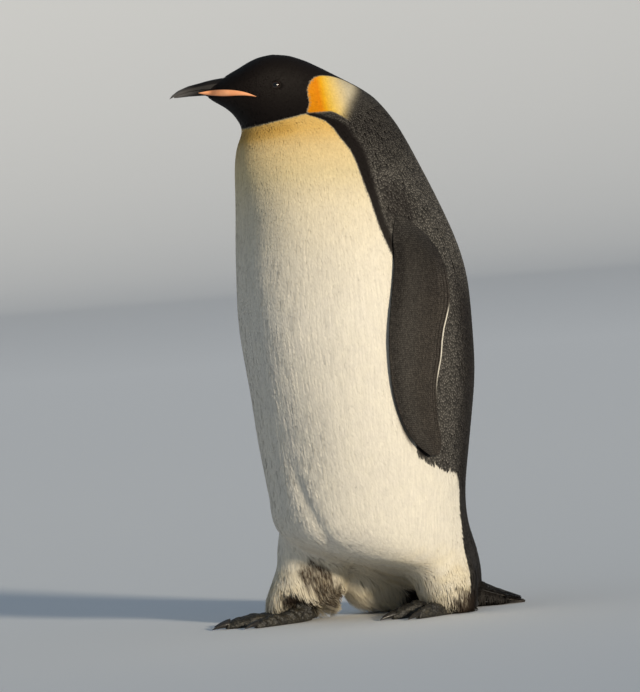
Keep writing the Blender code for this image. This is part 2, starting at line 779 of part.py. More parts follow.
def centre_on_floor(parts):
    """Slide the whole bird level, so that the origin is under the middle of its bounds."""
    graph = bpy.context.evaluated_depsgraph_get()
    corners = []
    for obj in parts.objects:
        shape = obj.evaluated_get(graph)
        corners += [shape.matrix_world @ vertex.co for vertex in shape.data.vertices]
    middle = Vector((0, 0, 0))
    for axis in (0, 1):
        values = [corner[axis] for corner in corners]
        middle[axis] = (min(values) + max(values)) / 2
    for obj in bpy.data.objects:
        if obj.parent is None:
            obj.location -= middle


def main():
    """Build the bird."""
    clear_scene()
    parts = new_collection("emperor_penguin")
    cutters = new_collection("cutters")
    make_trunk(parts)
    trunk_cutter = make_trunk_cutter(cutters)
    make_neck(parts)
    make_head_group(parts, cutters)
    make_flippers(surface_of(fine_body_rings(0, NECK_START + 1)), trunk_cutter, parts)
    foot_cutters = {side: make_foot(side, trunk_cutter, parts, cutters) for side in FOOT_PLACES}
    make_legs(trunk_cutter, foot_cutters, parts, cutters)
    fitted_to = [trunk_cutter]
    for name, table in (("left", LEFT_LEG), ("right", RIGHT_FLANK)):
        grown = loft(f"flank_{name}_cutter", leg_rings(table, GAP), "leg_feather", cutters)
        fitted_to.append(hide(grown))
    make_tail(fitted_to, parts, cutters)
    centre_on_floor(parts)


main()
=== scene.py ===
# %% [markdown]
# # A life-size emperor penguin
# The bird is a still model in a slow walk: right foot forward, neck drawn in, tail on the ground.
# The packed solids give the outline out to the feather tips. This lesson dresses them.
# A single skin goes inside the solids, and about a hundred thousand small closed vanes are
# laid over it as feathers. Bill, eyes, claws and tail feathers are pieces of their own.
# The frame is loaded first, because every later place and size is read from it.

# %% Load the frame
import math

import bmesh
import bpy
import numpy as np
from mathutils import Matrix, Vector
from mathutils.bvhtree import BVHTree


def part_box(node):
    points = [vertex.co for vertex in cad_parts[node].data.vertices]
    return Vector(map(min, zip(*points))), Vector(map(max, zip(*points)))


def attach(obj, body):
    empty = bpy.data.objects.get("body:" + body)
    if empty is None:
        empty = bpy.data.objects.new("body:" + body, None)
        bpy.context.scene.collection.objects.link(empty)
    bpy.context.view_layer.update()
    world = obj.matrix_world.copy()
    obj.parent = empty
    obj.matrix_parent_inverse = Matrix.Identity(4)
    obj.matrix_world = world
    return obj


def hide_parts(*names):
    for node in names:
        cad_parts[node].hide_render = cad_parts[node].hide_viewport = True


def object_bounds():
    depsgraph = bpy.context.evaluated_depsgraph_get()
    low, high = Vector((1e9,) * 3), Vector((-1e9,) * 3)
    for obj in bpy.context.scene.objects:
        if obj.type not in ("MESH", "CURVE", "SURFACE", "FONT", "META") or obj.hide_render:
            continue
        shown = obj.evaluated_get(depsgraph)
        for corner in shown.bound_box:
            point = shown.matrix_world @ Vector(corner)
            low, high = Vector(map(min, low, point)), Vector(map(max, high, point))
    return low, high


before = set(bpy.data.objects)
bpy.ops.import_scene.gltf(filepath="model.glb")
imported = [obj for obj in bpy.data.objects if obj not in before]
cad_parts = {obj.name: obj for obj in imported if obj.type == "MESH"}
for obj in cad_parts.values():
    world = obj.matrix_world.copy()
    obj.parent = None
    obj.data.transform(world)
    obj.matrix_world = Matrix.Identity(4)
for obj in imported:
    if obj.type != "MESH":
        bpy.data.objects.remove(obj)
solid_low, solid_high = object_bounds()
CROWN = solid_high.z
print("solids from", [round(v, 4) for v in solid_low], "to", [round(v, 4) for v in solid_high])

# %% [markdown]
# Markings and the lie of the feathers follow the bird's own body, not the room.
# The head is turned a little to the bird's right, so the turn has to be known.
# It could be typed in, but the two eyes already tell it: the line between them points to the
# bird's left, and its tilt on the floor plan is the turn of the head.

# %% Find the head's turn from the eyes
SIDES = ("left", "right")


def middle_of(node):
    """The middle of a node's box."""
    low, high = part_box(node)
    return np.array((low + high) / 2)


eye_line = middle_of("eye_left") - middle_of("eye_right")
HEAD_TURN = math.atan2(eye_line[1], eye_line[0])
between_eyes = (middle_of("eye_left") + middle_of("eye_right")) / 2
HEAD_BACK = np.array([-math.sin(HEAD_TURN), math.cos(HEAD_TURN), 0.0])
HEAD_LEFT = np.array([math.cos(HEAD_TURN), math.sin(HEAD_TURN), 0.0])
NECK_AXIS_Y = between_eyes[1] - between_eyes[0] * HEAD_BACK[1] / HEAD_BACK[0]
print(f"head turned {math.degrees(HEAD_TURN):.1f} degrees about y = {NECK_AXIS_Y:.4f}")

# %% [markdown]
# The neck takes up the turn on its way. Undoing it gives calm places: where a point would be
# if the bird looked straight ahead. Left and right then match, so one rule paints both sides.
# Calm places are in shares of the crown's height, measured from the middle of the body, which
# keeps every number of the plumage free of the bird's real size.

# %% Calm places
BODY_MIDDLE_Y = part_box("trunk")[0].y + 0.435 * (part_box("trunk")[1].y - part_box("trunk")[0].y)
NECK_FOOT = (0.785, 0.03)
NECK_TOP = (0.9157, 0.268)


def smooth_step(values, low, high):
    """0 below low, 1 above high, and a smooth S between them."""
    t = np.clip((np.asarray(values, float) - low) / (high - low), 0, 1)
    return t * t * (3 - 2 * t)


def turned_back(points):
    """Places with the head's turn undone, in shares of the crown height: x, y, z."""
    y = (points[:, 1] - BODY_MIDDLE_Y) / CROWN
    z = points[:, 2] / CROWN
    foot = NECK_FOOT[0] + NECK_FOOT[1] * y
    top = NECK_TOP[0] + NECK_TOP[1] * y
    angle = -HEAD_TURN * smooth_step((z - foot) / (top - foot), 0, 1)
    from_axis = points[:, 1] - NECK_AXIS_Y
    x = points[:, 0] * np.cos(angle) - from_axis * np.sin(angle)
    y = points[:, 0] * np.sin(angle) + from_axis * np.cos(angle) + NECK_AXIS_Y
    return np.stack([x / CROWN, (y - BODY_MIDDLE_Y) / CROWN, z], axis=1)


def calm_places(points):
    """The same places with both sides of the bird folded onto one."""
    places = turned_back(points)
    places[:, 0] = np.abs(places[:, 0])
    return places


print("body middle at y =", round(BODY_MIDDLE_Y, 4))

# %% [markdown]
# A real coat is never quite even. Sums of a few long waves in fixed directions give a smooth,
# repeatable unevenness. It could come from a noise texture, but the same values have to move
# vertices, so they are worked out here. Every wave comes from a numbered seed.

# %% Gentle unevenness
def ripple(points, size, seed, waves=7):
    """Smooth unevenness between about -1 and 1, with lumps of the given size in metres."""
    draw = np.random.default_rng(seed)
    total = np.zeros(len(points))
    for _ in range(waves):
        heading = draw.normal(size=3)
        heading *= 2 * math.pi / (size * np.linalg.norm(heading)) * draw.uniform(0.7, 1.4)
        total += np.sin(points @ heading + draw.uniform(0, 2 * math.pi))
    return total / math.sqrt(waves)


def unit(vectors):
    """Vectors scaled to length one."""
    return vectors / np.maximum(np.linalg.norm(vectors, axis=1, keepdims=True), 1e-12)


print("unevenness at the origin:", ripple(np.zeros((1, 3)), 0.05, 1).round(3))

# %% [markdown]
# ## The markings
# An emperor penguin has a black hood, a gold ear patch that fades to cream, a gold bloom on
# the upper breast, a black band from the ear to the flipper and a slate back.
# They could be painted by hand or by a picture. Here each one is a rule about calm places, and
# both the skin and every feather ask the same rules, so skin and coat always agree.
# The hood ends below on a slanting plane, and behind on a line with a round upper corner.

# %% Hood and ear patch
HOOD_EDGE = (0.9004, 0.179)
EAR_FRONT_Y = -0.0395
EAR_CORNER = (-0.0095, 0.926, 0.030)


def ear_inside(y, z):
    """How far inside the ear patch's front and upper edge a place lies, in shares."""
    centre_y, centre_z, radius = EAR_CORNER
    front = y - EAR_FRONT_Y + 0.45 * np.maximum(0, 0.910 - z)
    lift = 0.9562 - 0.12 * (y + 0.01) - 6.0 * np.maximum(0, y) ** 2
    top = lift - z
    corner = radius - np.hypot(y - centre_y, z - centre_z)
    in_corner = (y < centre_y) & (z > centre_z)
    return np.where(in_corner, corner, np.minimum(front, top))


def hood_line(y):
    """The height of the hood's lower border."""
    return HOOD_EDGE[0] + HOOD_EDGE[1] * y


print("the hood ends at the chin at z =", round(hood_line(-0.16) * CROWN, 4))

# %% [markdown]
# The white front meets the dark back along a line that is easiest to tell as an angle round
# the body from the breastbone, at each height. The black band is the strip just behind it.

# %% White front and dark back
SIDE_LINE = [
    (0.010, 129), (0.160, 134), (0.215, 134), (0.243, 129), (0.250, 117), (0.265, 106),
    (0.283, 97.5), (0.400, 94), (0.560, 93), (0.635, 90.7), (0.664, 87.8), (0.695, 85.2),
    (0.734, 83), (0.770, 80.4), (0.787, 79.2), (0.823, 78), (0.8635, 71.8), (0.877, 66.3),
    (0.884, 58.7), (0.8905, 50),
]


def angle_round(calm):
    """Degrees round the body from the breastbone, at the body's upright axis."""
    return np.degrees(np.arctan2(calm[:, 0], -(calm[:, 1] - 0.02)))


def behind_side_line(calm):
    """How far behind the front's edge a place lies, in shares of the crown height."""
    heights, angles = zip(*SIDE_LINE)
    edge = np.interp(calm[:, 2], heights, angles)
    reach = np.hypot(calm[:, 0], calm[:, 1] - 0.02)
    return np.radians(angle_round(calm) - edge) * reach


print("at half height the white front ends", round(float(np.interp(0.5, *zip(*SIDE_LINE))), 1),
      "degrees round from the breastbone")

# %% [markdown]
# A walking bird soils itself. Feathers behind the stepping shank and on the rear hems are brown,
# and the ankle over the stepping foot is nearly bare and dark.
# Random spots would look like dirt on a toy. The real stains sit where the leg rubs, so each is
# the distance from a line inside the leg, made uneven with the ripple.

# %% Stains near the feet
def near_capsule(points, start, end):
    """The distance of places from the line between two points."""
    start, end = np.array(start), np.array(end)
    way = end - start
    share = np.clip((points - start) @ way / (way @ way), 0, 1)
    return np.linalg.norm(points - start - share[:, None] * way, axis=1)


def ankle(points):
    """The bare-looking ankle over the stepping foot, where feathers are short and dark."""
    far = near_capsule(points, (-0.050, -0.140, 0.036), (-0.058, -0.092, 0.026))
    return 1 - smooth_step(far + 0.003 * ripple(points, 0.012, 8), 0.010, 0.017)


def leg_stain(points, calm):
    """Brown feathers: behind the right shank, on the left hem and round the feet."""
    far = near_capsule(points, (-0.031, -0.096, 0.078), (-0.052, -0.052, 0.030))
    far = far + 0.004 * ripple(points, 0.016, 5)
    stain = 1 - smooth_step(far, 0.017, 0.029)
    hem = 1 - smooth_step(calm[:, 2] + 0.010 * ripple(points, 0.012, 6), 0.014, 0.064)
    rear = smooth_step(calm[:, 1], 0.085, 0.125) * (1 - smooth_step(calm[:, 1], 0.150, 0.165))
    streaks = ripple(points * [1, 1, 0.3], 0.0042, 7)
    hem = smooth_step(hem * (0.20 + 0.72 * rear) + 0.22 * streaks, 0.30, 0.75)
    return np.clip(np.maximum(stain * (0.86 + 0.22 * streaks), hem), 0, 1)


spot = np.array([[-0.04, -0.075, 0.055]])
print("stain behind the shank:", leg_stain(spot, calm_places(spot)).round(2))

# %% [markdown]
# The gold is deepest under the hood and thins out down the breast to the cream of the belly,
# with one brighter rim along the hood. The low white feathers are a little yellow too.
# A straight fade would look sprayed on, so its strength is read from a short table of heights.

# %% Gold of the breast
GOLD_BLOOM = [(0.54, 0.0), (0.64, 0.06), (0.72, 0.17), (0.75, 0.24), (0.835, 0.52), (0.868, 0.78)]


def ridge(values, middle, width):
    """A soft bump of height 1 at the middle."""
    return np.exp(-((values - middle) / width) ** 2)


def gold_share(points, calm, grey, hood):
    """How golden the white feathers are."""
    _, y, z = calm.T
    rim = ridge(z - hood_line(y), -0.014, 0.011) * (1 - smooth_step(y, -0.09, -0.06))
    gold = (np.interp(z, *zip(*GOLD_BLOOM)) + 0.22 * rim) * (1 - grey) * (1 - hood)
    low = 1 - smooth_step(z, 0.055, 0.150)
    return np.maximum(gold, low * (1 - grey) * (0.15 + 0.05 * ripple(points, 0.03, 9)))


print("gold under the hood:", GOLD_BLOOM[-1][1])

# %% [markdown]
# The slate back isn't one tone. It is darker over the shoulder and up the nape, and it ends in a
# black notch under the flipper's tip. Towards the middle of the lower back it is darkened too,
# which is painted shade where the back turns away from the light. The strip just behind the
# flipper's front edge is painted brown, partly as the flipper's shadow and partly for the brown
# down feathers along that edge.
# Each of these is a soft share of black or brown, laid over the slate.

# %% Darker feathers and painted shade
FLIPPER_FRONT = [(0.298, 0.0301), (0.332, 0.0133), (0.366, 0.0031), (0.400, -0.0021),
                 (0.434, -0.0038), (0.468, -0.0030), (0.502, 0.0013), (0.535, 0.0078),
                 (0.569, 0.0151), (0.603, 0.0217), (0.637, 0.0268)]


def dark_and_painted_shade(calm, grey, shank):
    """How black the notch, the ankle and the darker back are, with painted shade on the lower
    back's rear.
    """
    _, y, z = calm.T
    notch = 1 - smooth_step(np.hypot((y - 0.063) / 0.020, (z - 0.298) / 0.019), 0.75, 1.1)
    # Painted shade: the rear of the lower back is darkened where it turns away from the light.
    painted_rear_shade = smooth_step(angle_round(calm), 119, 137) * (1 - smooth_step(z, 0.52, 0.66))
    shoulder = 1 - smooth_step(np.hypot((y - 0.050) / 0.050, (z - 0.712) / 0.070), 0.35, 1.1)
    nape = 0.09 + 0.43 * smooth_step(z, 0.74, 0.86)
    back = np.maximum(np.maximum(0.80 * painted_rear_shade, nape), 0.58 * shoulder) * grey
    return np.maximum(np.maximum(notch, 0.6 * shank), back)


def flipper_shade(calm):
    """The strip just behind the flipper's front edge: its painted shadow and brown down feathers.
    """
    x, y, z = calm.T
    behind_edge = y - np.interp(z, *zip(*FLIPPER_FRONT))
    strip = smooth_step(behind_edge, 0.001, 0.005) * (1 - smooth_step(behind_edge, 0.015, 0.025))
    return strip * (smooth_step(z, 0.29, 0.32) * (1 - smooth_step(z, 0.57, 0.61)) * (x > 0.1))


print("shade strip from z =", round(FLIPPER_FRONT[0][0] * CROWN, 3), "to",
      round(FLIPPER_FRONT[-1][0] * CROWN, 3))

# %% [markdown]
# Each rule answers with a share from 0 to 1, and the finish later mixes colours by them:
# hood and band are black, and band also carries the painted shade of the lower back, grey is the
# slate back, gold the bloom on the breast, ear the patch and ear_fade the way across it, brown
# the stained feathers and the painted shadow beside the flipper's front edge.
# Edges are about 2 mm soft, which is how crisp the rows of real feathers make them.

# %% All markings
EDGE = 0.0012


def markings(points):
    """The share of each marking at places on the bird."""
    calm = calm_places(points)
    _, y, z = calm.T
    inside_ear = ear_inside(y, z)
    above_line = z - hood_line(y)
    behind = behind_side_line(calm)
    band_top = 0.8925 - 4.5 * np.maximum(0, y + 0.008) ** 1.5
    under_ear = smooth_step(band_top - z, -EDGE, EDGE)
    fade_line = 0.016 + 0.86 * (z - 0.885)
    back = smooth_step(behind, -EDGE, EDGE) * np.where(z > 0.86, under_ear, 1.0)
    nape = smooth_step(-inside_ear, -EDGE, EDGE) * (y > -0.02) * (z > 0.86)
    grey_neck = smooth_step(y - fade_line, -0.017, 0.018) * (z > 0.86)
    ear = smooth_step(inside_ear, -EDGE, EDGE) * (1 - under_ear)
    ear *= (above_line > -0.004) | (y > -0.0465)
    hood = smooth_step(above_line, -EDGE, EDGE) * (1 - ear) * (y < 0.02)
    width = 0.014 + 0.012 * smooth_step(z, 0.70, 0.86) - 0.012 * smooth_step(z, 0.86, 0.89)
    band = back * (1 - smooth_step(behind, width * 0.75, width * 1.5)) * smooth_step(z, 0.60, 0.66)
    crest = nape * (1 - smooth_step(y, 0.015, 0.055))
    grey = np.maximum(np.maximum(back, nape), grey_neck)
    grey *= 1 - (1 - smooth_step(y, 0.105, 0.125)) * (1 - smooth_step(z, 0.14, 0.17))
    shank = ankle(points)
    # dark holds the notch, the ankle and the darker back, with painted shade on the lower back's
    # rear
    dark = dark_and_painted_shade(calm, grey, shank)
    brown = np.maximum(leg_stain(points, calm), shank)
    # band also carries that painted shade, and brown the painted shadow by the flipper's front edge
    return {
        "hood": hood, "band": np.maximum(np.maximum(band, crest), dark), "grey": grey,
        "gold": gold_share(points, calm, grey, hood), "ear": ear * (1 - hood),
        "ear_fade": smooth_step(y, -0.042, 0.040),
        "brown": np.maximum(brown, 0.8 * flipper_shade(calm) * (1 - dark)),
    }


print("markings at the crown:", {k: round(float(v[0]), 2)
                                 for k, v in markings(np.array([[0, -0.06, CROWN]])).items()})

# %% [markdown]
# ## One skin
# On the real bird the skin is a single bag over all the flesh. The solids are cut into parts, so
# they are swelled a hair to close their gaps, joined, and wrapped anew by a voxel remesh.
# Boolean unions would also join them but keep every facet and seam.

# %% Wrap solids in one closed mesh
SWELL = 0.0006


def gathered(nodes):
    """The welded meshes of some solids, swelled a little, in one bmesh."""
    gather = bmesh.new()
    for node in nodes:
        part = bmesh.new()
        part.from_mesh(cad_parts[node].data)
        bmesh.ops.remove_doubles(part, verts=part.verts, dist=1e-5)
        part.normal_update()
        for vertex in part.verts:
            vertex.co += vertex.normal * SWELL
        piece = bpy.data.meshes.new("gathered")
        part.to_mesh(piece)
        part.free()
        gather.from_mesh(piece)
        bpy.data.meshes.remove(piece)
    return gather


def wrapped(nodes, voxel):
    """One closed mesh round some solids: its points and faces."""
    gather = gathered(nodes)
    mesh = bpy.data.meshes.new("wrap")
    gather.to_mesh(mesh)
    gather.free()
    helper = bpy.data.objects.new("wrap", mesh)
    bpy.context.scene.collection.objects.link(helper)
    remesh = helper.modifiers.new("wrap", "REMESH")
    remesh.mode = "VOXEL"
    remesh.voxel_size = voxel
    graph = bpy.context.evaluated_depsgraph_get()
    wrap = bpy.data.meshes.new_from_object(helper.evaluated_get(graph))
    points = np.empty(len(wrap.vertices) * 3)
    wrap.vertices.foreach_get("co", points)
    faces = [tuple(polygon.vertices) for polygon in wrap.polygons]
    bpy.data.objects.remove(helper)
    return points.reshape(-1, 3), faces


print("solids swell by", SWELL * 1000, "mm before they are wrapped")

# %% [markdown]
# A wrap has the steps of its voxels. It is relaxed: each vertex moves towards the mean of its
# neighbours, by a share that may differ from place to place. A subdivision modifier would round
# the steps too, but it would also pull thin parts in and add faces that nobody needs.

# %% Relax a mesh and find its normals
def edges_of(faces):
    """Each edge of some faces once, as an array of vertex pairs."""
    pairs = {(min(a, b), max(a, b)) for face in faces for a, b in zip(face, face[1:] + face[:1])}
    return np.array(sorted(pairs))


def relaxed(points, edges, share, rounds):
    """Points moved towards the mean of their neighbours, by each point's own share."""
    count = len(points)
    degree = np.bincount(edges.ravel(), minlength=count)
    share = np.broadcast_to(share, (count,))[:, None]
    for _ in range(rounds):
        total = np.empty_like(points)
        for axis in range(3):
            total[:, axis] = (np.bincount(edges[:, 0], points[edges[:, 1], axis], count)
                              + np.bincount(edges[:, 1], points[edges[:, 0], axis], count))
        points = points + share * (total / degree[:, None] - points)
    return points


def normals_of(points, faces):
    """The vertex normals of a closed mesh of triangles and quads."""
    padded = np.array([face if len(face) == 4 else face + face[-1:] for face in faces])
    a, b, c, d = (points[padded[:, k]] for k in range(4))
    across = np.cross(c - a, d - b)
    normals = np.zeros_like(points)
    for corner in range(4):
        for axis in range(3):
            normals[:, axis] += np.bincount(padded[:, corner], across[:, axis], len(points))
    return unit(normals)


def tree_of(points, faces):
    """A tree that finds the nearest place on a mesh and where rays meet it."""
    return BVHTree.FromPolygons([tuple(point) for point in points], faces)


print("a square has", len(edges_of([(0, 1, 2, 3)])), "edges")

# %% [markdown]
# The body is all the flesh that wears feathers, with bill and eyes as fillers, so that the skin
# closes round their seats. The feet are left out, because bare skin needs a finer wrap.

# %% Wrap the body
FLESH = ["trunk", "neck", "head", "leg_left", "leg_right", "tail",
         "bill_upper", "bill_lower", "bill_plate_left", "bill_plate_right",
         "eye_left", "eye_right"]
BODY_VOXEL = 0.0050
body_points, body_faces = wrapped(FLESH, BODY_VOXEL)
body_edges = edges_of(body_faces)
print("body wrap:", len(body_points), "points,", len(body_faces), "faces")

# %% [markdown]
# The wrap has the outline of the plumage. Under it the real body is a little slimmer, by as much
# as the feathers stand up: least on the face, most on the long feathers of the legs.
# One depth all over would be simpler, but the face would look puffed and the legs shaved.

# %% Depth of the coat
def coat_depth(calm):
    """How thick the coat lies on the skin, in metres."""
    _, y, z = calm.T
    head = smooth_step(z - hood_line(y), -0.03, 0.02)
    legs = 1 - smooth_step(z, 0.06, 0.16)
    face = smooth_step(-y, 0.06, 0.16) * head
    bill = smooth_step(-y, 0.150, 0.205) * head
    return 0.0028 * (1 - head) + 0.0018 * head + 0.0030 * legs - 0.0006 * face - 0.0006 * bill


print("coat on the belly:", 1000 * coat_depth(np.array([[0.1, -0.15, 0.5]])).round(4), "mm deep")

# %% [markdown]
# Soft folds come in here too, because feathers laid over a fold follow it. A thigh pushes up
# beside the belly, and the belly's lower edge hangs over the stepping leg.
# They could be sculpted by hand. Here each one is a groove along a bent line of a few points,
# fading in from one end, so it can be moved by changing a number.

# %% Folds of thigh and belly
THIGH_CREASE = np.array([(0.052, -0.163, 0.310), (0.056, -0.160, 0.282), (0.060, -0.157, 0.252),
                         (0.069, -0.151, 0.219), (0.083, -0.142, 0.186), (0.088, -0.126, 0.152),
                         (0.070, -0.098, 0.122)])
BELLY_EDGE = np.array([(-0.146, -0.060, 0.150), (-0.118, -0.112, 0.160), (-0.080, -0.133, 0.158),
                       (-0.042, -0.128, 0.139), (-0.034, -0.106, 0.119), (-0.026, -0.084, 0.103),
                       (-0.027, -0.057, 0.091), (-0.028, -0.010, 0.082)])


def from_line(points, line):
    """The distance of each point from a bent line, and how far along the line it is nearest."""
    best = np.full(len(points), 1e9)
    along = np.zeros(len(points))
    for index, (start, end) in enumerate(zip(line[:-1], line[1:])):
        way = end - start
        share = np.clip((points - start) @ way / (way @ way), 0, 1)
        far = np.linalg.norm(points - start - share[:, None] * way, axis=1)
        along = np.where(far < best, (index + share) / (len(line) - 1), along)
        best = np.minimum(far, best)
    return best, along


def folds(points):
    """How far the skin sinks in its folds, in metres."""
    calm = calm_places(points)
    far, along = from_line(points, THIGH_CREASE)
    crease = 0.0046 * ridge(far, 0, 0.0135) * smooth_step(along, 0.0, 0.55)
    far, along = from_line(points * [-1, 1, 1], THIGH_CREASE)
    crease += 0.0030 * ridge(far, 0, 0.012) * smooth_step(along, 0.0, 0.5)
    far, along = from_line(points, BELLY_EDGE)
    crease += 0.0050 * ridge(far, 0, 0.0085) * smooth_step(along, 0.0, 0.3)
    soft = 0.0009 * ripple(points, 0.16, 11) * smooth_step(calm[:, 2], 0.10, 0.20)
    soft *= 1 - smooth_step(calm[:, 2], 0.80, 0.88)
    return crease + soft


print("deepest fold:", round(1000 * float(folds(THIGH_CREASE).max()), 1), "mm")

# %% [markdown]
# Now the skin itself. The trunk is relaxed for many rounds, which melts its facets, and the small
# head only a little, so that it keeps its shape. Then the skin sinks by the coat and the folds.

# %% The body's skin
calm = calm_places(body_points)
on_trunk = smooth_step(calm[:, 2], 0.10, 0.20) * (1 - smooth_step(calm[:, 2], 0.78, 0.86))
outline = relaxed(body_points, body_edges, 0.06 + 0.44 * on_trunk, 90)
outline_normals = normals_of(outline, body_faces)
sink = coat_depth(calm_places(outline)) + SWELL + folds(outline)
body_skin = relaxed(outline - outline_normals * sink[:, None], body_edges, 0.3, 3)
print("skin lies", round(1000 * float(sink.min()), 1), "to", round(1000 * float(sink.max()), 1),
      "mm inside the outline")

# %% [markdown]
# ## Flippers
# A flipper is a stiff blade with a thick front edge and a thin rear one. Its solid is read by
# rays: at each height, where the blade starts and ends, and where its outer and inner faces are.
# That gives an even net of points over the blade, which the skin and the rows of scales both use.
# Wrapping the blade in voxels would have been simpler but would eat its thin edge.

# %% Rays into a blade
FLIPPER_ROWS = 96
FLIPPER_COLUMNS = 26


def even_row(values, rounds=12):
    """A line of values with its small steps smoothed away and its ends kept."""
    values = values.copy()
    for _ in range(rounds):
        values[1:-1] += 0.5 * ((values[:-2] + values[2:]) / 2 - values[1:-1])
    return values


def solid_tree(node):
    """A tree of one solid's faces, for rays."""
    mesh = bmesh.new()
    mesh.from_mesh(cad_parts[node].data)
    tree = BVHTree.FromBMesh(mesh)
    mesh.free()
    return tree


def meet(tree, y, z, start_x, way):
    """Where a ray straight across the bird meets a mesh, or None."""
    return tree.ray_cast(Vector((start_x, y, z)), Vector((way, 0, 0)))[0]


def blade_edges(tree, side, heights, scan):
    """The front and the rear edge of a blade at some heights."""
    fronts, rears = [], []
    for z in heights:
        found = [y for y in scan if meet(tree, y, z, side, -side) is not None]
        fronts.append(found[0])
        rears.append(found[-1])
    return even_row(np.array(fronts)), even_row(np.array(rears))


print("each blade is read at", FLIPPER_ROWS, "heights")

# %% [markdown]
# Rays that graze the thin edge can miss. Such a place takes its thickness from its neighbours
# above and below, and then the whole face is evened a little.

# %% One face of a blade
def blade_face(tree, start_x, way, heights, fronts, rears):
    """One face of a blade as a net of points: rows down it, columns across it."""
    net = np.empty((FLIPPER_ROWS, FLIPPER_COLUMNS, 3))
    for row, z in enumerate(heights):
        for column, share in enumerate(np.linspace(0, 1, FLIPPER_COLUMNS)):
            inset = 0.0005 + share * (rears[row] - fronts[row] - 0.0010)
            y = fronts[row] + inset
            place = meet(tree, y, z, start_x, way)
            net[row, column] = (np.nan, y, z) if place is None else place
    for column in range(FLIPPER_COLUMNS):
        line = net[:, column, 0]
        known = ~np.isnan(line)
        net[:, column, 0] = np.interp(np.arange(len(line)), np.flatnonzero(known), line[known])
    for _ in range(6):
        net[1:-1, 1:-1, 0] += 0.5 * (
            (net[:-2, 1:-1, 0] + net[2:, 1:-1, 0] + net[1:-1, :-2, 0] + net[1:-1, 2:, 0]) / 4
            - net[1:-1, 1:-1, 0])
    return net


print("and at", FLIPPER_COLUMNS, "places from edge to edge")

# %% [markdown]
# Two things are added to the solid's plain blade. The trailing edge gets the soft S of the real
# elbow, from a table of how far it stands out at each height. And near the shoulder the outer
# face sinks into the body's outline, because a real flipper grows out of the shoulder.

# %% Shape the flippers
SHOULDER_SHARE = 0.17
ELBOW = np.array([  # height, and how far the trailing edge stands out there, in metres
    (0.385, 0.0), (0.430, 0.0062), (0.455, 0.0056), (0.477, 0.0070), (0.497, 0.0118),
    (0.516, 0.0160), (0.535, 0.0146), (0.555, 0.0122), (0.580, 0.0107), (0.620, 0.0040),
    (0.650, 0.0)])
SIDE_SIGN = {"left": 1, "right": -1}
outline_tree = tree_of(outline, body_faces)


def flipper_net(side_name):
    """The flipper's outer and inner faces as nets of points."""
    tree = solid_tree(f"flipper_{side_name}")
    low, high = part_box(f"flipper_{side_name}")
    side = SIDE_SIGN[side_name]
    heights = high.z - 0.002 - (high.z - low.z - 0.0026) * np.linspace(0, 1, FLIPPER_ROWS)
    fronts, rears = blade_edges(tree, side, heights, np.linspace(low.y, high.y, 160))
    outer = blade_face(tree, side, -side, heights, fronts, rears)
    inner = blade_face(tree, 0.0, side, heights, fronts, rears)
    bulge = even_row(np.interp(heights, ELBOW[:, 0], ELBOW[:, 1]), 4)
    for net in (outer, inner):
        from_front = net[:, :, 1] - fronts[:, None]
        net[:, :, 1] += from_front * (bulge / (rears - fronts))[:, None]
    rise = smooth_step(np.linspace(0, 1, FLIPPER_ROWS), 0.0, SHOULDER_SHARE)
    for row in np.flatnonzero(rise < 1):
        for column in range(FLIPPER_COLUMNS):
            body = meet(outline_tree, outer[row, column, 1], outer[row, column, 2], side, -side)
            if body is not None:
                outer[row, column, 0] = body.x + (outer[row, column, 0] - body.x) * rise[row]
    thinnest = 0.0006 + 0.0024 * (1 - rise[:, None])
    inner[:, :, 0] = side * np.minimum(side * inner[:, :, 0], side * outer[:, :, 0] - thinnest)
    return outer, inner


flipper_nets = {side: flipper_net(side) for side in SIDES}
print("left flipper:", flipper_nets["left"][0].shape, "net, tip at z =",
      round(float(flipper_nets["left"][0][-1, 0, 2]), 4))

# %% [markdown]
# ## Feet
# The feet are bare scaly skin, so they are wrapped on their own with a finer voxel, and knobbed
# a little where the pads and joints swell. Their tops hide under the leg feathers.
# The left foot pushes off, so its toes arch up more than those of the foot that has just landed.

# %% Feet
FOOT_VOXEL = 0.0019
TOE_SWELL = {"left": 0.45, "right": 0.06}


def foot_skin(side_name):
    """The skin of one foot, with soft knobs, and its soles kept on the floor."""
    points, faces = wrapped([f"foot_{side_name}"], FOOT_VOXEL)
    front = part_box(f"foot_{side_name}")[0].y
    toes = 1 - smooth_step(points[:, 1], front + 0.045, front + 0.085)
    points[:, 2] *= 1 + TOE_SWELL[side_name] * toes * smooth_step(points[:, 2], 0.002, 0.008)
    points = relaxed(points, edges_of(faces), 0.5, 4)
    normals = normals_of(points, faces)
    knobs = 0.0011 * ripple(points, 0.013, 21) + 0.0007 * ripple(points, 0.006, 22)
    upward = smooth_step(points[:, 2], 0.001, 0.006)
    points = points + normals * (np.minimum(knobs, 0.0006) * upward - 0.0003)[:, None]
    points[:, 2] = np.maximum(points[:, 2], 0.0002)
    return points, faces


foot_skins = {side: foot_skin(side) for side in SIDES}
print("foot skins:", {side: len(faces) for side, (_, faces) in foot_skins.items()}, "faces")

# %% [markdown]
# ## Eyelids
# The lids are a soft almond-shaped ring that lies on the eyeball. Such a ring could be pushed up
# from the skin, but the skin's faces are too large there, so it is lofted round each eye: a small
# circle is carried round the eye's opening, and the opening is wider at its two corners.

# %% Eyelids
EYE_RADIUS = (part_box("eye_left")[1].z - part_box("eye_left")[0].z) / 2
LID_OPENING = math.radians(41)
EYE_AXES = {}
for side_name, side in SIDE_SIGN.items():
    EYE_AXES[side_name] = unit((side * HEAD_LEFT - 0.20 * HEAD_BACK + [0, 0, 0.10])[None])[0]


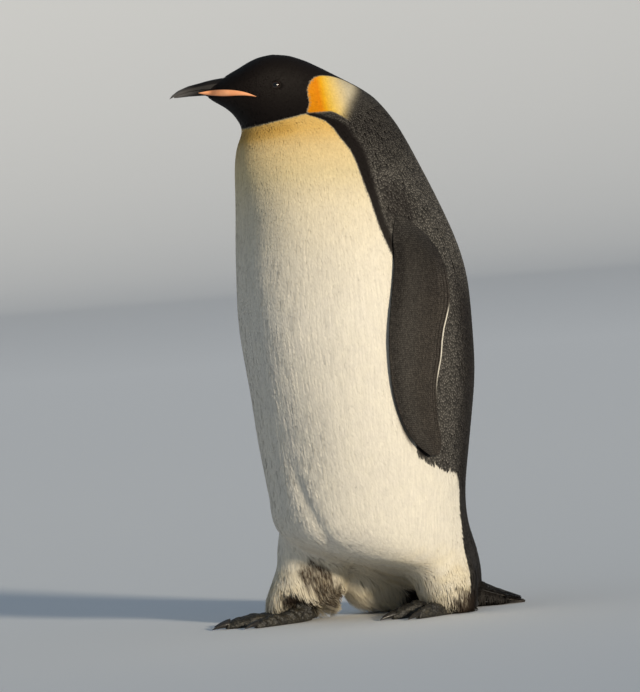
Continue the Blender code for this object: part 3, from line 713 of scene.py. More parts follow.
def eyelids(side_name, segments=48, corners=8):
    """A closed almond ring round the eye: its points and faces."""
    centre = middle_of(f"eye_{side_name}")
    axis = EYE_AXES[side_name]
    along = unit(np.cross([0.0, 0, 1], axis)[None])[0]
    upward = np.cross(axis, along)
    points, faces = [], []
    for step in range(segments):
        turn = 2 * math.pi * step / segments
        almond = 0.16 * abs(math.cos(turn)) ** 3 - 0.10 * abs(math.sin(turn))
        open_angle = LID_OPENING * (1 + almond)
        outward = along * math.cos(turn) + upward * math.sin(turn)
        for corner in range(corners):
            swing = 2 * math.pi * corner / corners
            angle = open_angle + 0.17 + 0.17 * math.cos(swing)
            lift = EYE_RADIUS + 0.0001 + 0.0007 * (1 + math.sin(swing))
            points.append(centre + lift * (axis * math.cos(angle) + outward * math.sin(angle)))
            ring, following = step * corners, (step + 1) % segments * corners
            nearby = (corner + 1) % corners
            faces.append((ring + corner, ring + nearby, following + nearby, following + corner))
    return np.array(points), faces


lid_rings = {side: eyelids(side) for side in SIDES}
print("lids round eyes of radius", round(1000 * EYE_RADIUS, 1), "mm")

# %% [markdown]
# A flipper's skin is its net drawn in by the depth of the scales, with the outer and the inner
# face stitched round the rim. Every closed shape then goes into one mesh, the skin.

# %% Flipper skin
SCALE_DEPTH = 0.0011


def stitched(outer, inner, flip):
    """A closed shell from an outer and an inner net: its points and faces."""
    rows, columns, _ = outer.shape
    count = rows * columns
    points = np.concatenate([outer.reshape(-1, 3), inner.reshape(-1, 3)])
    faces = []
    for row in range(rows - 1):
        for column in range(columns - 1):
            a = row * columns + column
            faces.append((a, a + columns, a + columns + 1, a + 1))
            faces.append((count + a, count + a + 1, count + a + columns + 1, count + a + columns))
    rim = list(range(columns))
    rim += [row * columns + columns - 1 for row in range(1, rows)]
    rim += [(rows - 1) * columns + column for column in range(columns - 2, -1, -1)]
    rim += [row * columns for row in range(rows - 2, 0, -1)]
    for a, b in zip(rim, rim[1:] + rim[:1]):
        faces.append((a, b, count + b, count + a))
    if flip:
        faces = [face[::-1] for face in faces]
    return points, faces


def flipper_skin(side_name):
    """The skin of one flipper, thinner than its solid by the scales on both faces."""
    outer, inner = (net.copy() for net in flipper_nets[side_name])
    side = SIDE_SIGN[side_name]
    thickness = side * (outer[:, :, 0] - inner[:, :, 0])
    draw_in = np.minimum(SCALE_DEPTH, np.maximum(thickness - 0.0006, 0) / 2)
    outer[:, :, 0] -= side * draw_in
    inner[:, :, 0] += side * draw_in
    return stitched(outer, inner, side_name == "right")


flipper_skins = {side: flipper_skin(side) for side in SIDES}
print("flipper skins:", {side: len(faces) for side, (_, faces) in flipper_skins.items()}, "faces")

# %% [markdown]
# ## Finishes
# A finish is a small net of shader nodes. Wiring each one by hand takes many lines that look the
# same, so a short class gives the few nodes that the bird needs plain names: a stored number,
# arithmetic, a mix and a ramp. Plain values are set on the shader's own sockets, because only
# those survive when the model is exported.

# %% Wire a material
class Wiring:
    """A material being wired up, with short names for its numbers and colours."""

    def __init__(self, name, roughness=0.5):
        self.material = bpy.data.materials.new(name)
        self.material.use_nodes = True
        self.tree = self.material.node_tree
        self.shader = self.tree.nodes["Principled BSDF"]
        self.set(Roughness=roughness)

    def set(self, **values):
        """Set plain values on the shader's own sockets."""
        for name, value in values.items():
            self.shader.inputs[name.replace("_", " ")].default_value = value

    def link(self, source, target):
        """Feed a socket, or set it where the source is a plain value."""
        if isinstance(source, bpy.types.NodeSocket):
            self.tree.links.new(source, target)
        elif isinstance(source, tuple) and len(source) == 3:
            target.default_value = (*source, 1.0)
        else:
            target.default_value = source

    def attribute(self, name):
        """A number stored on the mesh."""
        node = self.tree.nodes.new("ShaderNodeAttribute")
        node.attribute_name = name
        return node.outputs["Fac"]

    def number(self, operation, first, second=0.0):
        """Arithmetic on two numbers."""
        node = self.tree.nodes.new("ShaderNodeMath")
        node.operation = operation
        self.link(first, node.inputs[0])
        self.link(second, node.inputs[1])
        return node.outputs[0]

    def mix(self, share, first, second, blend="MIX"):
        """A colour between two."""
        node = self.tree.nodes.new("ShaderNodeMix")
        node.data_type = "RGBA"
        node.blend_type = blend
        self.link(share, node.inputs["Factor"])
        self.link(first, node.inputs["A"])
        self.link(second, node.inputs["B"])
        return next(output for output in node.outputs if output.type == "RGBA")

    def ramp(self, share, stops):
        """A colour read from stops of (place, colour)."""
        node = self.tree.nodes.new("ShaderNodeValToRGB")
        elements = node.color_ramp.elements
        while len(elements) < len(stops):
            elements.new(0.5)
        for element, (place, colour) in zip(elements, stops):
            element.position = place
            element.color = (*colour, 1.0)
        self.link(share, node.inputs[0])
        return node.outputs[0]

    def colour(self, source):
        """Feed the base colour, and hand over the finished material."""
        self.link(source, self.shader.inputs["Base Color"])
        return self.material


print("a wiring can", ", ".join(name for name in vars(Wiring) if not name.startswith("_")))

# %% [markdown]
# Feathers, horn and leather all need fine unevenness that stays with the object when it is
# turned. So every noise is read at the object's own places, and not at those of a map. A bump
# shows relief too fine for the mesh.

# %% Fine unevenness of a finish
class Finish(Wiring):
    """A wiring that also has noise, round cells and a bump."""

    def place(self):
        """Where on the object the surface is."""
        return self.tree.nodes.new("ShaderNodeTexCoord").outputs["Object"]

    def noise(self, scale, detail=3.0, stretch=(1, 1, 1)):
        """Cloudy unevenness fixed to the object, with features of about 1 / scale metres."""
        mapping = self.tree.nodes.new("ShaderNodeMapping")
        mapping.inputs["Scale"].default_value = stretch
        node = self.tree.nodes.new("ShaderNodeTexNoise")
        node.inputs["Scale"].default_value = scale
        node.inputs["Detail"].default_value = detail
        self.link(self.place(), mapping.inputs["Vector"])
        self.link(mapping.outputs["Vector"], node.inputs["Vector"])
        return node.outputs["Fac"]

    def cells(self, scale):
        """Round cells fixed to the object: the distance from each cell's middle."""
        node = self.tree.nodes.new("ShaderNodeTexVoronoi")
        node.inputs["Scale"].default_value = scale
        self.link(self.place(), node.inputs["Vector"])
        return node.outputs["Distance"]

    def bump(self, height, strength, distance):
        """Fine relief on the shader's normal."""
        node = self.tree.nodes.new("ShaderNodeBump")
        node.inputs["Strength"].default_value = strength
        node.inputs["Distance"].default_value = distance
        self.link(height, node.inputs["Height"])
        self.tree.links.new(node.outputs["Normal"], self.shader.inputs["Normal"])


print("a finish adds", ", ".join(name for name in vars(Finish) if not name.startswith("_")))

# %% [markdown]
# One finish serves skin and feathers. The markings are stored on the mesh as named attributes,
# and the finish mixes its colours by them. A feather also knows how far along it a point is,
# so that back feathers are dark with pale tips and white feathers are a little darker at their
# roots, which is painted shade where they lie under their neighbours. Each feather has a tone
# of its own, because no two feathers are equally bright. Long stretched noise gives the silky
# strands, and a fine bump.

# %% Plumage
WHITE_FEATHER = (0.78, 0.732, 0.635)
CREAM_FEATHER = (0.72, 0.60, 0.36)
GOLD_FEATHER = (0.78, 0.51, 0.16)
AMBER_FEATHER = (0.70, 0.42, 0.10)
BLACK_FEATHER = (0.0060, 0.0036, 0.0026)
SLATE_ROOT = (0.012, 0.011, 0.010)
SLATE_MIDDLE = (0.044, 0.041, 0.037)
SLATE_TIP = (0.190, 0.177, 0.157)
BROWN_FEATHER = (0.042, 0.027, 0.017)


def plumage():
    """The finish of the skin and of all soft feathers."""
    finish = Finish("plumage", roughness=0.6)
    finish.set(Specular_IOR_Level=0.17)
    tone = finish.attribute("tone")
    along = finish.attribute("along")
    gold = finish.attribute("gold")
    front = finish.ramp(gold, [(0.0, WHITE_FEATHER), (0.36, CREAM_FEATHER), (0.78, GOLD_FEATHER),
                               (1.0, AMBER_FEATHER)])
    # Painted shade: white feathers darker towards their roots, under the overlapping feathers.
    shade = finish.ramp(along, [(0.0, (0.86, 0.84, 0.80)), (0.5, (1, 1, 1))])
    front = finish.mix(1.0, front, shade, "MULTIPLY")
    ear = finish.ramp(finish.attribute("ear_fade"), [
        (0.0, (0.76, 0.27, 0.001)), (0.16, (0.78, 0.25, 0.001)), (0.30, (0.82, 0.42, 0.012)),
        (0.48, (0.84, 0.56, 0.10)), (0.72, (0.80, 0.60, 0.24)), (1.0, (0.60, 0.53, 0.38)),
    ])
    colour = finish.mix(finish.attribute("ear"), front, ear)
    strands = finish.noise(1.0, 3.0, (300, 300, 26))
    silky = finish.ramp(strands, [(0.3, (0.90, 0.90, 0.90)), (0.7, (1.04, 1.04, 1.04))])
    colour = finish.mix(1.0, colour, silky, "MULTIPLY")
    slate = finish.ramp(along, [(0.0, SLATE_ROOT), (0.55, SLATE_MIDDLE), (0.80, SLATE_MIDDLE),
                                (0.97, SLATE_TIP)])
    uneven = finish.ramp(tone, [(0.0, (0.62, 0.62, 0.62)), (1.0, (1.35, 1.35, 1.35))])
    slate = finish.mix(1.0, slate, uneven, "MULTIPLY")
    colour = finish.mix(finish.attribute("grey"), colour, slate)
    brown = finish.mix(1.0, BROWN_FEATHER, uneven, "MULTIPLY")
    colour = finish.mix(finish.attribute("brown"), colour, brown)
    black = finish.number("MAXIMUM", finish.attribute("hood"), finish.attribute("band"))
    colour = finish.mix(black, colour, BLACK_FEATHER)
    cloudy = finish.ramp(finish.noise(38.0), [(0.3, (0.95, 0.95, 0.96)), (0.7, (1.0, 1.0, 0.99))])
    colour = finish.mix(1.0, colour, cloudy, "MULTIPLY")
    bright = finish.ramp(tone, [(0.0, (0.955, 0.955, 0.955)), (1.0, (1.03, 1.03, 1.03))])
    colour = finish.mix(1.0, colour, bright, "MULTIPLY")
    finish.bump(strands, 0.35, 0.0006)
    return finish.colour(colour)


plumage_finish = plumage()
print("plumage finish:", len(plumage_finish.node_tree.nodes), "nodes")

# %% [markdown]
# Every piece is made the same way: a mesh from points and faces, its finish, its stored numbers,
# and a ride on the bird's one body. All numbers are stored for points, not for faces, so that
# colours blend across a face.

# %% Make a piece
MARKS = ("hood", "band", "grey", "gold", "ear", "ear_fade", "brown")


def new_piece(name, points, faces, finish, attributes=None):
    """A mesh object from points and faces, with its finish and its stored numbers."""
    mesh = bpy.data.meshes.new(name)
    mesh.from_pydata([tuple(point) for point in points], [], [tuple(face) for face in faces])
    mesh.materials.append(finish)
    for key, values in (attributes or {}).items():
        layer = mesh.attributes.new(key, "FLOAT", "POINT")
        layer.data.foreach_set("value", np.asarray(values, np.float32))
    mesh.shade_smooth()
    piece = bpy.data.objects.new(name, mesh)
    bpy.context.scene.collection.objects.link(piece)
    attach(piece, "root")
    return piece


def joined(shapes):
    """Several (points, faces) shapes as one."""
    points, faces, start = [], [], 0
    for shape_points, shape_faces in shapes:
        points.append(shape_points)
        faces += [tuple(corner + start for corner in face) for face in shape_faces]
        start += len(shape_points)
    return np.concatenate(points), faces


print("each point of the plumage stores", len(MARKS), "markings")

# %% [markdown]
# A flipper has markings of its own. Outside it is slate black, paler towards the middle,
# with fine dark lines near the trailing edge and a thin white line along its lower half. Inside
# it is white with a dark front edge and tip. They follow the blade, so they are told by the
# share down the blade and the share across it.

# %% Markings of a flipper
def flipper_marks(span, chord, outside):
    """The markings of a flipper at shares of its span and of its chord from the front edge."""
    span, chord, outside = np.broadcast_arrays(span, chord, outside)
    lower = smooth_step(span, 0.28, 0.52)
    rear = smooth_step(chord, 0.25, 0.60) * smooth_step(span, 0.15, 0.4)
    near_rim = smooth_step(chord, 0.74, 0.80) * smooth_step(span, 0.18, 0.30)
    dark_lines = sum(ridge(chord, middle, 0.013) * depth
                     for middle, depth in ((0.81, 0.5), (0.875, 0.9), (0.945, 1.0)))
    trailing = smooth_step(chord, 0.965, 0.980) * smooth_step(span, 0.37, 0.43)
    trailing *= 1 - smooth_step(span, 0.64, 0.78)
    front = (1 - smooth_step(chord, 0.012, 0.045)) * smooth_step(span, 0.45, 0.70)
    spot = np.exp(-((span - 0.66) / 0.02) ** 2 - ((chord - 0.30) / 0.05) ** 2)
    dark_inside = np.maximum(smooth_step(span, 0.90, 0.95), 1 - smooth_step(chord, 0.16, 0.22))
    dark = np.where(outside > 0.5, 1 - trailing, dark_inside)
    zero = np.zeros(span.shape)
    black = 0.64 - 0.17 * lower - 0.08 * rear - 0.30 * front - 0.25 * spot
    black = black * (1 - near_rim) + near_rim * (0.15 + 0.80 * dark_lines)
    black = np.clip(black, 0, 1) * dark * (0.75 + 0.25 * smooth_step(span, 0.02, 0.20))
    return {"hood": zero, "band": black, "grey": dark, "gold": zero, "ear": zero,
            "ear_fade": zero, "brown": dark * (0.15 + 0.18 * rear + 0.3 * front)
            * smooth_step(span, 0, 0.2)}


print("band at a flipper's middle:", flipper_marks(0.5, 0.5, 1.0)["band"].round(2))

# %% [markdown]
# The wrapped body, both flippers, the lids and the feet become one mesh. Only the points of the
# flippers take the flipper's own markings. The skin under the feathers has a middling tone, so
# that no bright gap shows between two feathers.

# %% Gather the skin
skin_points, skin_faces = joined(
    [(body_skin, body_faces)] + [flipper_skins[side] for side in SIDES]
    + [lid_rings[side] for side in SIDES] + [foot_skins[side] for side in SIDES])
skin_marks = markings(skin_points)
net_span, net_chord = np.meshgrid(np.linspace(0, 1, FLIPPER_ROWS),
                                  np.linspace(0, 1, FLIPPER_COLUMNS), indexing="ij")
both_faces = [np.tile(part.ravel(), 2) for part in (net_span, net_chord)]
blade_marks = flipper_marks(*both_faces, np.repeat([1.0, 0.0], net_span.size))
for index in range(2):
    start = len(body_skin) + 2 * net_span.size * index
    for key in MARKS:
        skin_marks[key][start:start + 2 * net_span.size] = blade_marks[key]
skin_marks["along"] = np.full(len(skin_points), 0.45)
skin_marks["tone"] = np.full(len(skin_points), 0.3)
print("skin:", len(skin_faces), "faces")

# %% [markdown]
# The feet are dark olive grey leather with small round black scales. Each scale is painted
# lighter on its top as a highlight and darker towards its edge as shade. Modelled scales would
# cost far more faces than they show, so cells raise a bump and shade the colour, and the larger
# knobs are already in the shape.

# %% Skin with its feet
def foot_leather():
    """Olive grey leather with black scales, each with a painted highlight on top and painted shade
    at its edge.
    """
    finish = Finish("foot skin", roughness=0.55)
    scales = finish.cells(330.0)
    cloudy = finish.noise(60.0)
    base = finish.ramp(cloudy, [(0.35, (0.010, 0.009, 0.008)), (0.65, (0.034, 0.030, 0.022))])
    # Painted highlight on each scale's top and painted shade towards its edge.
    tone_layer = finish.ramp(scales, [(0.25, (1.5, 1.45, 1.3)), (0.60, (0.55, 0.55, 0.55))])
    finish.bump(finish.number("SUBTRACT", 1.0, scales), 0.8, 0.0008)
    return finish.colour(finish.mix(1.0, base, tone_layer, "MULTIPLY"))


skin = new_piece("skin", skin_points, skin_faces, plumage_finish, skin_marks)
skin.data.materials.append(foot_leather())
foot_faces = sum(len(foot_skins[side][1]) for side in SIDES)
slots = np.zeros(len(skin_faces), np.int32)
slots[-foot_faces:] = 1
skin.data.polygons.foreach_set("material_index", slots)
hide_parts("trunk", "neck", "head", "leg_left", "leg_right", "foot_left", "foot_right",
            "flipper_left", "flipper_right")
print("skin made of", len(skin_faces), "faces,", foot_faces, "of them on the feet")

# %% [markdown]
# ## The lie of the coat
# A feather is walked over the skin in short steps, so after each step its place is set back on
# the skin. The nearest place on the mesh is exact. The normal is blended from the face's corners,
# because the flat normals of the faces would make the coat look tiled.

# %% Settle on the skin
skin_tree = tree_of(body_skin, body_faces)
skin_corner_normals = normals_of(body_skin, body_faces)
BODY_CORNERS = np.array([face if len(face) == 4 else face + face[-1:] for face in body_faces])


def settle(places):
    """The nearest places on the skin and its smooth normals there."""
    spots = np.empty_like(places)
    hit_faces = np.empty(len(places), int)
    for index, place in enumerate(places):
        spot, _, face, _ = skin_tree.find_nearest(place)
        spots[index] = spot
        hit_faces[index] = face
    corners = BODY_CORNERS[hit_faces]
    reach = np.linalg.norm(body_skin[corners] - spots[:, None], axis=2) + 1e-5
    weight = (1 / reach)[:, :, None]
    return spots, unit((skin_corner_normals[corners] * weight).sum(axis=1))


print("skin under the crown at z =", round(float(settle(np.array([[0, -0.06, 1.0]]))[0][0, 2]), 4))

# %% [markdown]
# Feathers lie from the bill backwards over the head, then turn down the neck and run down the
# body, and under the belly they run back towards the tail. A wandering of a few degrees makes
# the coat part into the soft strands that catch the light on a real bird.
# The lie could be combed by hand with curves, but then it would not follow the skin on its own.

# %% Lie of the coat
def rearward(z):
    """How much the feathers of the belly run back while they run down, by height."""
    return 0.40 * (1 - smooth_step(z, 0.14, 0.52))


def lie(places, normals):
    """The way the feathers point at places on the skin."""
    _, y, z = calm_places(places).T
    neck = smooth_step(z - 0.10 * y, 0.855, 0.925)[:, None]
    down = np.tile([0.0, 0.0, -1.0], (len(places), 1))
    down[:, 1] += rearward(z) * (1 - smooth_step(y, 0.02, 0.12))
    under = smooth_step(-normals[:, 2], 0.25, 0.8)[:, None]
    down = down * (1 - under) + np.array([0, 1.0, 0]) * under
    heading = down * (1 - neck) + (HEAD_BACK + [0, 0, -0.22]) * neck
    heading = unit(heading - normals * (heading * normals).sum(axis=1, keepdims=True))
    loose = 1 - smooth_step(z, 0.08, 0.30)
    sway = (0.05 + 0.05 * loose) * ripple(places, 0.050, 31)
    sway += (0.03 + 0.07 * loose) * ripple(places, 0.016, 32)
    return unit(heading + np.cross(normals, heading) * sway[:, None])


print("coat at the nape points", [round(float(v), 2) for v in
      lie(*settle(np.array([[0.02, 0.04, 0.89]])))[0]])

# %% [markdown]
# ## Bill plates
# The lower bill wears a long orange pink plate on each side, a smooth spindle along the gape.
# The solids have plain ones. Here they are crowned: rays find the side of the bill and the cheek
# along the plate's course, and the plate is laid on there, thickest along its middle.
# They are shaped before the feathers, because feathers must not grow through them.

# %% Side of the bill and the cheek
PLATE = np.array([  # behind the middle of the eyes, lower and upper edge, all in metres
    (-0.1243, 0.8952, 0.8956), (-0.1120, 0.8912, 0.8973), (-0.0990, 0.8886, 0.8982),
    (-0.0870, 0.8868, 0.8978), (-0.0750, 0.8862, 0.8964), (-0.0640, 0.8859, 0.8942),
    (-0.0540, 0.8852, 0.8914), (-0.0440, 0.8836, 0.8874), (-0.0345, 0.8816, 0.8820)])
BILL_LIFT = 0.0026
FACE_VOXEL = 0.0018


def lifted(points):
    """Bill points raised a little towards the tip, which closes the bill to a gentle droop."""
    back = (points - between_eyes) @ HEAD_BACK
    return points + BILL_LIFT * smooth_step(-back, 0.065, 0.115)[:, None] * [0, 0, 1]


face_points, face_faces = wrapped(
    ["head", "bill_upper", "bill_lower", "bill_plate_left", "bill_plate_right"], FACE_VOXEL)
face_points = lifted(relaxed(face_points, edges_of(face_faces), 0.5, 8))
face_tree = tree_of(face_points, face_faces)
print("face wrap:", len(face_faces), "faces")

# %% [markdown]
# The spindle's section is half an ellipse. It is highest in the middle of the plate's length and
# sinks to nothing at both ends, and its back lies a little inside the bill, so no gap can show.

# %% Shape the plates
PLATE_CROWN = 0.0016
PLATE_DEPTH = 0.0012


def plate_shape(side_name, rows=56, columns=11):
    """A crowned spindle along the gape, laid on the side of the bill and the cheek."""
    side = SIDE_SIGN[side_name]
    backs = np.linspace(PLATE[0, 0], PLATE[-1, 0], rows)
    lows, highs = (even_row(np.interp(backs, PLATE[:, 0], PLATE[:, k]), 6) for k in (1, 2))
    outer = np.empty((rows, columns, 3))
    inner = np.empty_like(outer)
    for row, (back, low, high) in enumerate(zip(backs, lows, highs)):
        slim = math.sin(math.pi * (row + 0.5) / rows) ** 0.5
        for column, across in enumerate(np.linspace(-1, 1, columns)):
            place = between_eyes + HEAD_BACK * back
            place[2] = (low + high) / 2 + across * (high - low) / 2
            start = Vector(place + side * 0.15 * HEAD_LEFT)
            spot = face_tree.ray_cast(start, Vector(-side * HEAD_LEFT))[0]
            spot = place if spot is None else np.array(spot)
            crown = PLATE_CROWN * slim * max(0.0, 1 - across ** 2) ** 0.5
            outer[row, column] = spot + side * HEAD_LEFT * (crown - 0.0001)
            inner[row, column] = spot - side * HEAD_LEFT * PLATE_DEPTH
    for net in (outer, inner):
        for _ in range(4):
            net[1:-1, :, :] += 0.5 * ((net[:-2] + net[2:]) / 2 - net[1:-1])
    return stitched(outer, inner, side_name == "left")


plate_shapes = {side: plate_shape(side) for side in SIDES}
print("plates:", {side: len(faces) for side, (_, faces) in plate_shapes.items()}, "faces")

# %% [markdown]
# ## Where feathers grow
# Bill, plates and eyes stay bare, and so do the soles. A root that stands clear of the bill can
# still bear a feather that reaches into it, so three places along each feather are tested.

# %% Bare places
EYE_BARE = 0.0066
bill_points, bill_faces = wrapped(["bill_upper", "bill_lower"], FACE_VOXEL)
bare_tree = tree_of(*joined([(lifted(bill_points), bill_faces)]
                            + [plate_shapes[side] for side in SIDES]))


def growing(roots):
    """Whether feathers grow at some places: not on the bill, in the eyes or on the soles."""
    grow = roots[:, 2] > 0.006
    for side in SIDES:
        eye = middle_of(f"eye_{side}")
        axis = EYE_AXES[side]
        off_axis = roots - eye - ((roots - eye) @ axis)[:, None] * axis
        grow &= (np.linalg.norm(off_axis, axis=1) > EYE_BARE) | ((roots - eye) @ axis < 0)
    ahead = np.flatnonzero((roots[:, 1] < -0.12) & grow)
    spots, normals = settle(roots[ahead])
    heading = lie(spots, normals)
    for reach, room in ((0.0, 0.0021), (0.0045, 0.0017), (0.0090, 0.0015)):
        for index, spot in zip(ahead, spots + heading * reach + normals * 0.0012):
            grow[index] &= bare_tree.find_nearest(spot)[3] > room
    return grow


print("grows on the crown:", bool(growing(np.array([[0, -0.06, 0.945]]))[0]))

# %% [markdown]
# Geometry Nodes spreads the roots by Poisson discs, which keep their distance and yet show no
# rows. A plain grid would show rows, and purely random places would leave bald spots.

# %% Spread roots over a field
TRIES = 3.0


def spread(keep, spacing, seed):
    """Roots spread evenly over the kept faces of the skin."""
    mesh = bpy.data.meshes.new("field")
    kept = [face for face, wanted in zip(body_faces, keep) if wanted]
    mesh.from_pydata([tuple(point) for point in body_skin], [], kept)
    helper = bpy.data.objects.new("field", mesh)
    bpy.context.scene.collection.objects.link(helper)
    tree = bpy.data.node_groups.new("spread", "GeometryNodeTree")
    for direction in ("INPUT", "OUTPUT"):
        tree.interface.new_socket("Geometry", in_out=direction, socket_type="NodeSocketGeometry")
    start = tree.nodes.new("NodeGroupInput")
    end = tree.nodes.new("NodeGroupOutput")
    scatter = tree.nodes.new("GeometryNodeDistributePointsOnFaces")
    scatter.distribute_method = "POISSON"
    scatter.inputs["Distance Min"].default_value = spacing
    scatter.inputs["Density Max"].default_value = TRIES / spacing ** 2
    scatter.inputs["Seed"].default_value = seed
    dots = tree.nodes.new("GeometryNodePointsToVertices")
    tree.links.new(start.outputs[0], scatter.inputs["Mesh"])
    tree.links.new(scatter.outputs["Points"], dots.inputs[0])
    tree.links.new(dots.outputs[0], end.inputs[0])
    helper.modifiers.new("spread", "NODES").node_group = tree
    graph = bpy.context.evaluated_depsgraph_get()
    made = bpy.data.meshes.new_from_object(helper.evaluated_get(graph))
    roots = np.empty(len(made.vertices) * 3)
    made.vertices.foreach_get("co", roots)
    bpy.data.objects.remove(helper)
    roots = roots.reshape(-1, 3)
    return roots[growing(roots)]


print("on a square of one spacing", TRIES, "roots are tried, and the crowded ones go")

# %% [markdown]
# The skin is split into fields, each with its own spacing. It is closest on the hood, where real
# feathers are like velvet, and widest on the back. The borders wander a little, so that no line
# shows where one field's feathers meet the next.

# %% Fields of the coat
face_places = body_skin[BODY_CORNERS].mean(axis=1)
face_calm = calm_places(face_places)
wander = 0.014 * ripple(face_places, 0.045, 41)
height = face_calm[:, 2] + wander
behind = behind_side_line(face_calm) + 0.4 * wander
on_head = (face_calm[:, 2] > hood_line(face_calm[:, 1]) - 0.012) & (face_calm[:, 2] > 0.885)
on_legs = (height < 0.125) & ~on_head
on_rear = (behind > 0.026) & ~on_head & ~on_legs
on_nape = on_rear & (height > 0.79)
on_back = on_rear & ~on_nape
on_neck = (height > 0.80) & ~on_head & ~on_rear
on_front = ~(on_head | on_neck | on_legs | on_rear)
FIELDS = {
    "hood": (on_head, 0.0017, "hood_feather"),
    "neck": (on_neck, 0.0021, "neck_feather"),
    "nape": (on_nape, 0.0029, "neck_feather"),
    "front": (on_front, 0.0026, "body_feather"),
    "back": (on_back, 0.0035, "body_feather"),
    "legs": (on_legs, 0.0020, "leg_feather"),
}
roots_of = {}
for seed, (name, (keep, spacing, _)) in enumerate(FIELDS.items()):
    roots_of[name] = spread(keep, spacing, seed + 3)
    print(f"{name}: {len(roots_of[name])} roots, {spacing * 1000:.1f} mm apart")

# %% [markdown]
# ## Feather vanes
# The visible end of a small feather is a narrow vane with a low keel. Each one is a closed solid
# with a pointed root and tip and two or three rings between, walked along the skin so that it
# bends with the body. Cards with a painted edge would be lighter but have no thickness.

# %% Pattern of one vane
SLIM_VANE = {"shares": [0.0, 0.34, 0.84, 1.0], "heights": [-0.08, 0.68, 0.96, 1.0],
             "widths": [0.0, 0.48, 0.45, 0.0], "keel": 0.025, "lower": 0.040}
BROAD_VANE = {"shares": [0.0, 0.28, 0.66, 0.90, 1.0], "heights": [-0.08, 0.62, 0.90, 0.98, 1.0],
              "widths": [0.0, 0.46, 0.50, 0.34, 0.0], "keel": 0.05, "lower": 0.08}


def vane_pattern(shares):
    """The faces of one vane, and each point's share of its length."""
    rings = len(shares) - 2
    along = [0.0] + [share for share in shares[1:-1] for _ in range(3)] + [1.0]
    faces = [(0, 2, 1), (0, 3, 2), (0, 1, 3)]
    for ring in range(rings - 1):
        a, b = 1 + 3 * ring, 4 + 3 * ring
        faces += [(a, a + 1, b + 1, b), (a + 1, a + 2, b + 2, b + 1), (a + 2, a, b, b + 2)]
    last, tip = 3 * rings - 2, 3 * rings + 1
    faces += [(last, last + 1, tip), (last + 1, last + 2, tip), (last + 2, last, tip)]
    return faces, along


print("slim vane:", len(vane_pattern(SLIM_VANE["shares"])[0]), "faces, broad vane:",
      len(vane_pattern(BROAD_VANE["shares"])[0]), "faces")

# %% [markdown]
# Feathers are shortest on the face, short on the neck, and longest and thinnest on the legs,
# where they look like hair. Back feathers are broad, so that their pale tips show as scales.

# %% Size of the feathers
def feather_size(calm, back):
    """The length and the width of feathers at some places, in metres."""
    _, y, z = calm.T
    head = smooth_step(z - hood_line(y), -0.05, 0.01)
    face = smooth_step(-y, 0.07, 0.15) * head
    legs = 1 - smooth_step(z, 0.07, 0.15)
    neck = smooth_step(z, 0.74, 0.86)
    length = 0.0205 - 0.0065 * neck - 0.0050 * head - 0.0035 * face + 0.0055 * legs
    width = 0.0050 - 0.0008 * neck - 0.0009 * head - 0.0007 * face - 0.0030 * legs
    if back:
        length = 0.0160 - 0.0042 * neck
        width = 0.0050 - 0.0012 * neck
    return length, width


print("belly feathers:", [round(1000 * float(v[0]), 1) for v in
      feather_size(np.array([[0.1, -0.15, 0.5]]), False)], "mm long and wide")

# %% [markdown]
# Wet-looking strands run down a penguin's breast, because neighbouring feathers lean the same
# way. Each vane is tilted by a ripple that is stretched along the feathers' own paths.
# Along the hems of the legs and under the belly feathers hang down freely, off the skin.

# %% Strands and hanging hems
HEIGHTS = np.linspace(0, 1, 101)
DRIFT = np.cumsum(rearward(HEIGHTS)) * (HEIGHTS[1] - HEIGHTS[0]) * CROWN


def combed(places):
    """Places pushed so that each feather's path over the belly becomes an upright line."""
    drift = np.interp(places[:, 2] / CROWN, HEIGHTS, DRIFT)
    return places + np.stack([0 * drift, drift, 0 * drift], axis=1)


def strand_tilt(places, calm):
    """How far vanes lean together to one side, which gathers them into long strands."""
    front = 1 - smooth_step(angle_round(calm), 30, 80)
    strength = 0.035 + 0.14 * front * (1 - smooth_step(calm[:, 2], 0.45, 0.85))
    strength = strength * smooth_step(calm[:, 2], 0.04, 0.10)
    strands = combed(places) * [1, 1, 0.09]
    return strength * (0.7 * ripple(strands, 0.0068, 51) + 0.7 * ripple(strands, 0.0040, 52))


def hanging(places, normals):
    """How freely feathers hang: only at the hems of the legs and under the belly."""
    low = 1 - smooth_step(places[:, 2], 0.045, 0.090)
    return 0.95 * low * smooth_step(-normals[:, 2], -0.05, 0.30)


print("feathers drift back by", round(1000 * float(DRIFT[-1])), "mm from the crown to the floor")

# %% [markdown]
# A vane starts just under the skin, rises to the plumage's outline and ends there, so feathers
# overlap like tiles. Length, width, depth, roll and turn all vary a little, most at the ragged
# hems, and feathers on the ankle stay short.

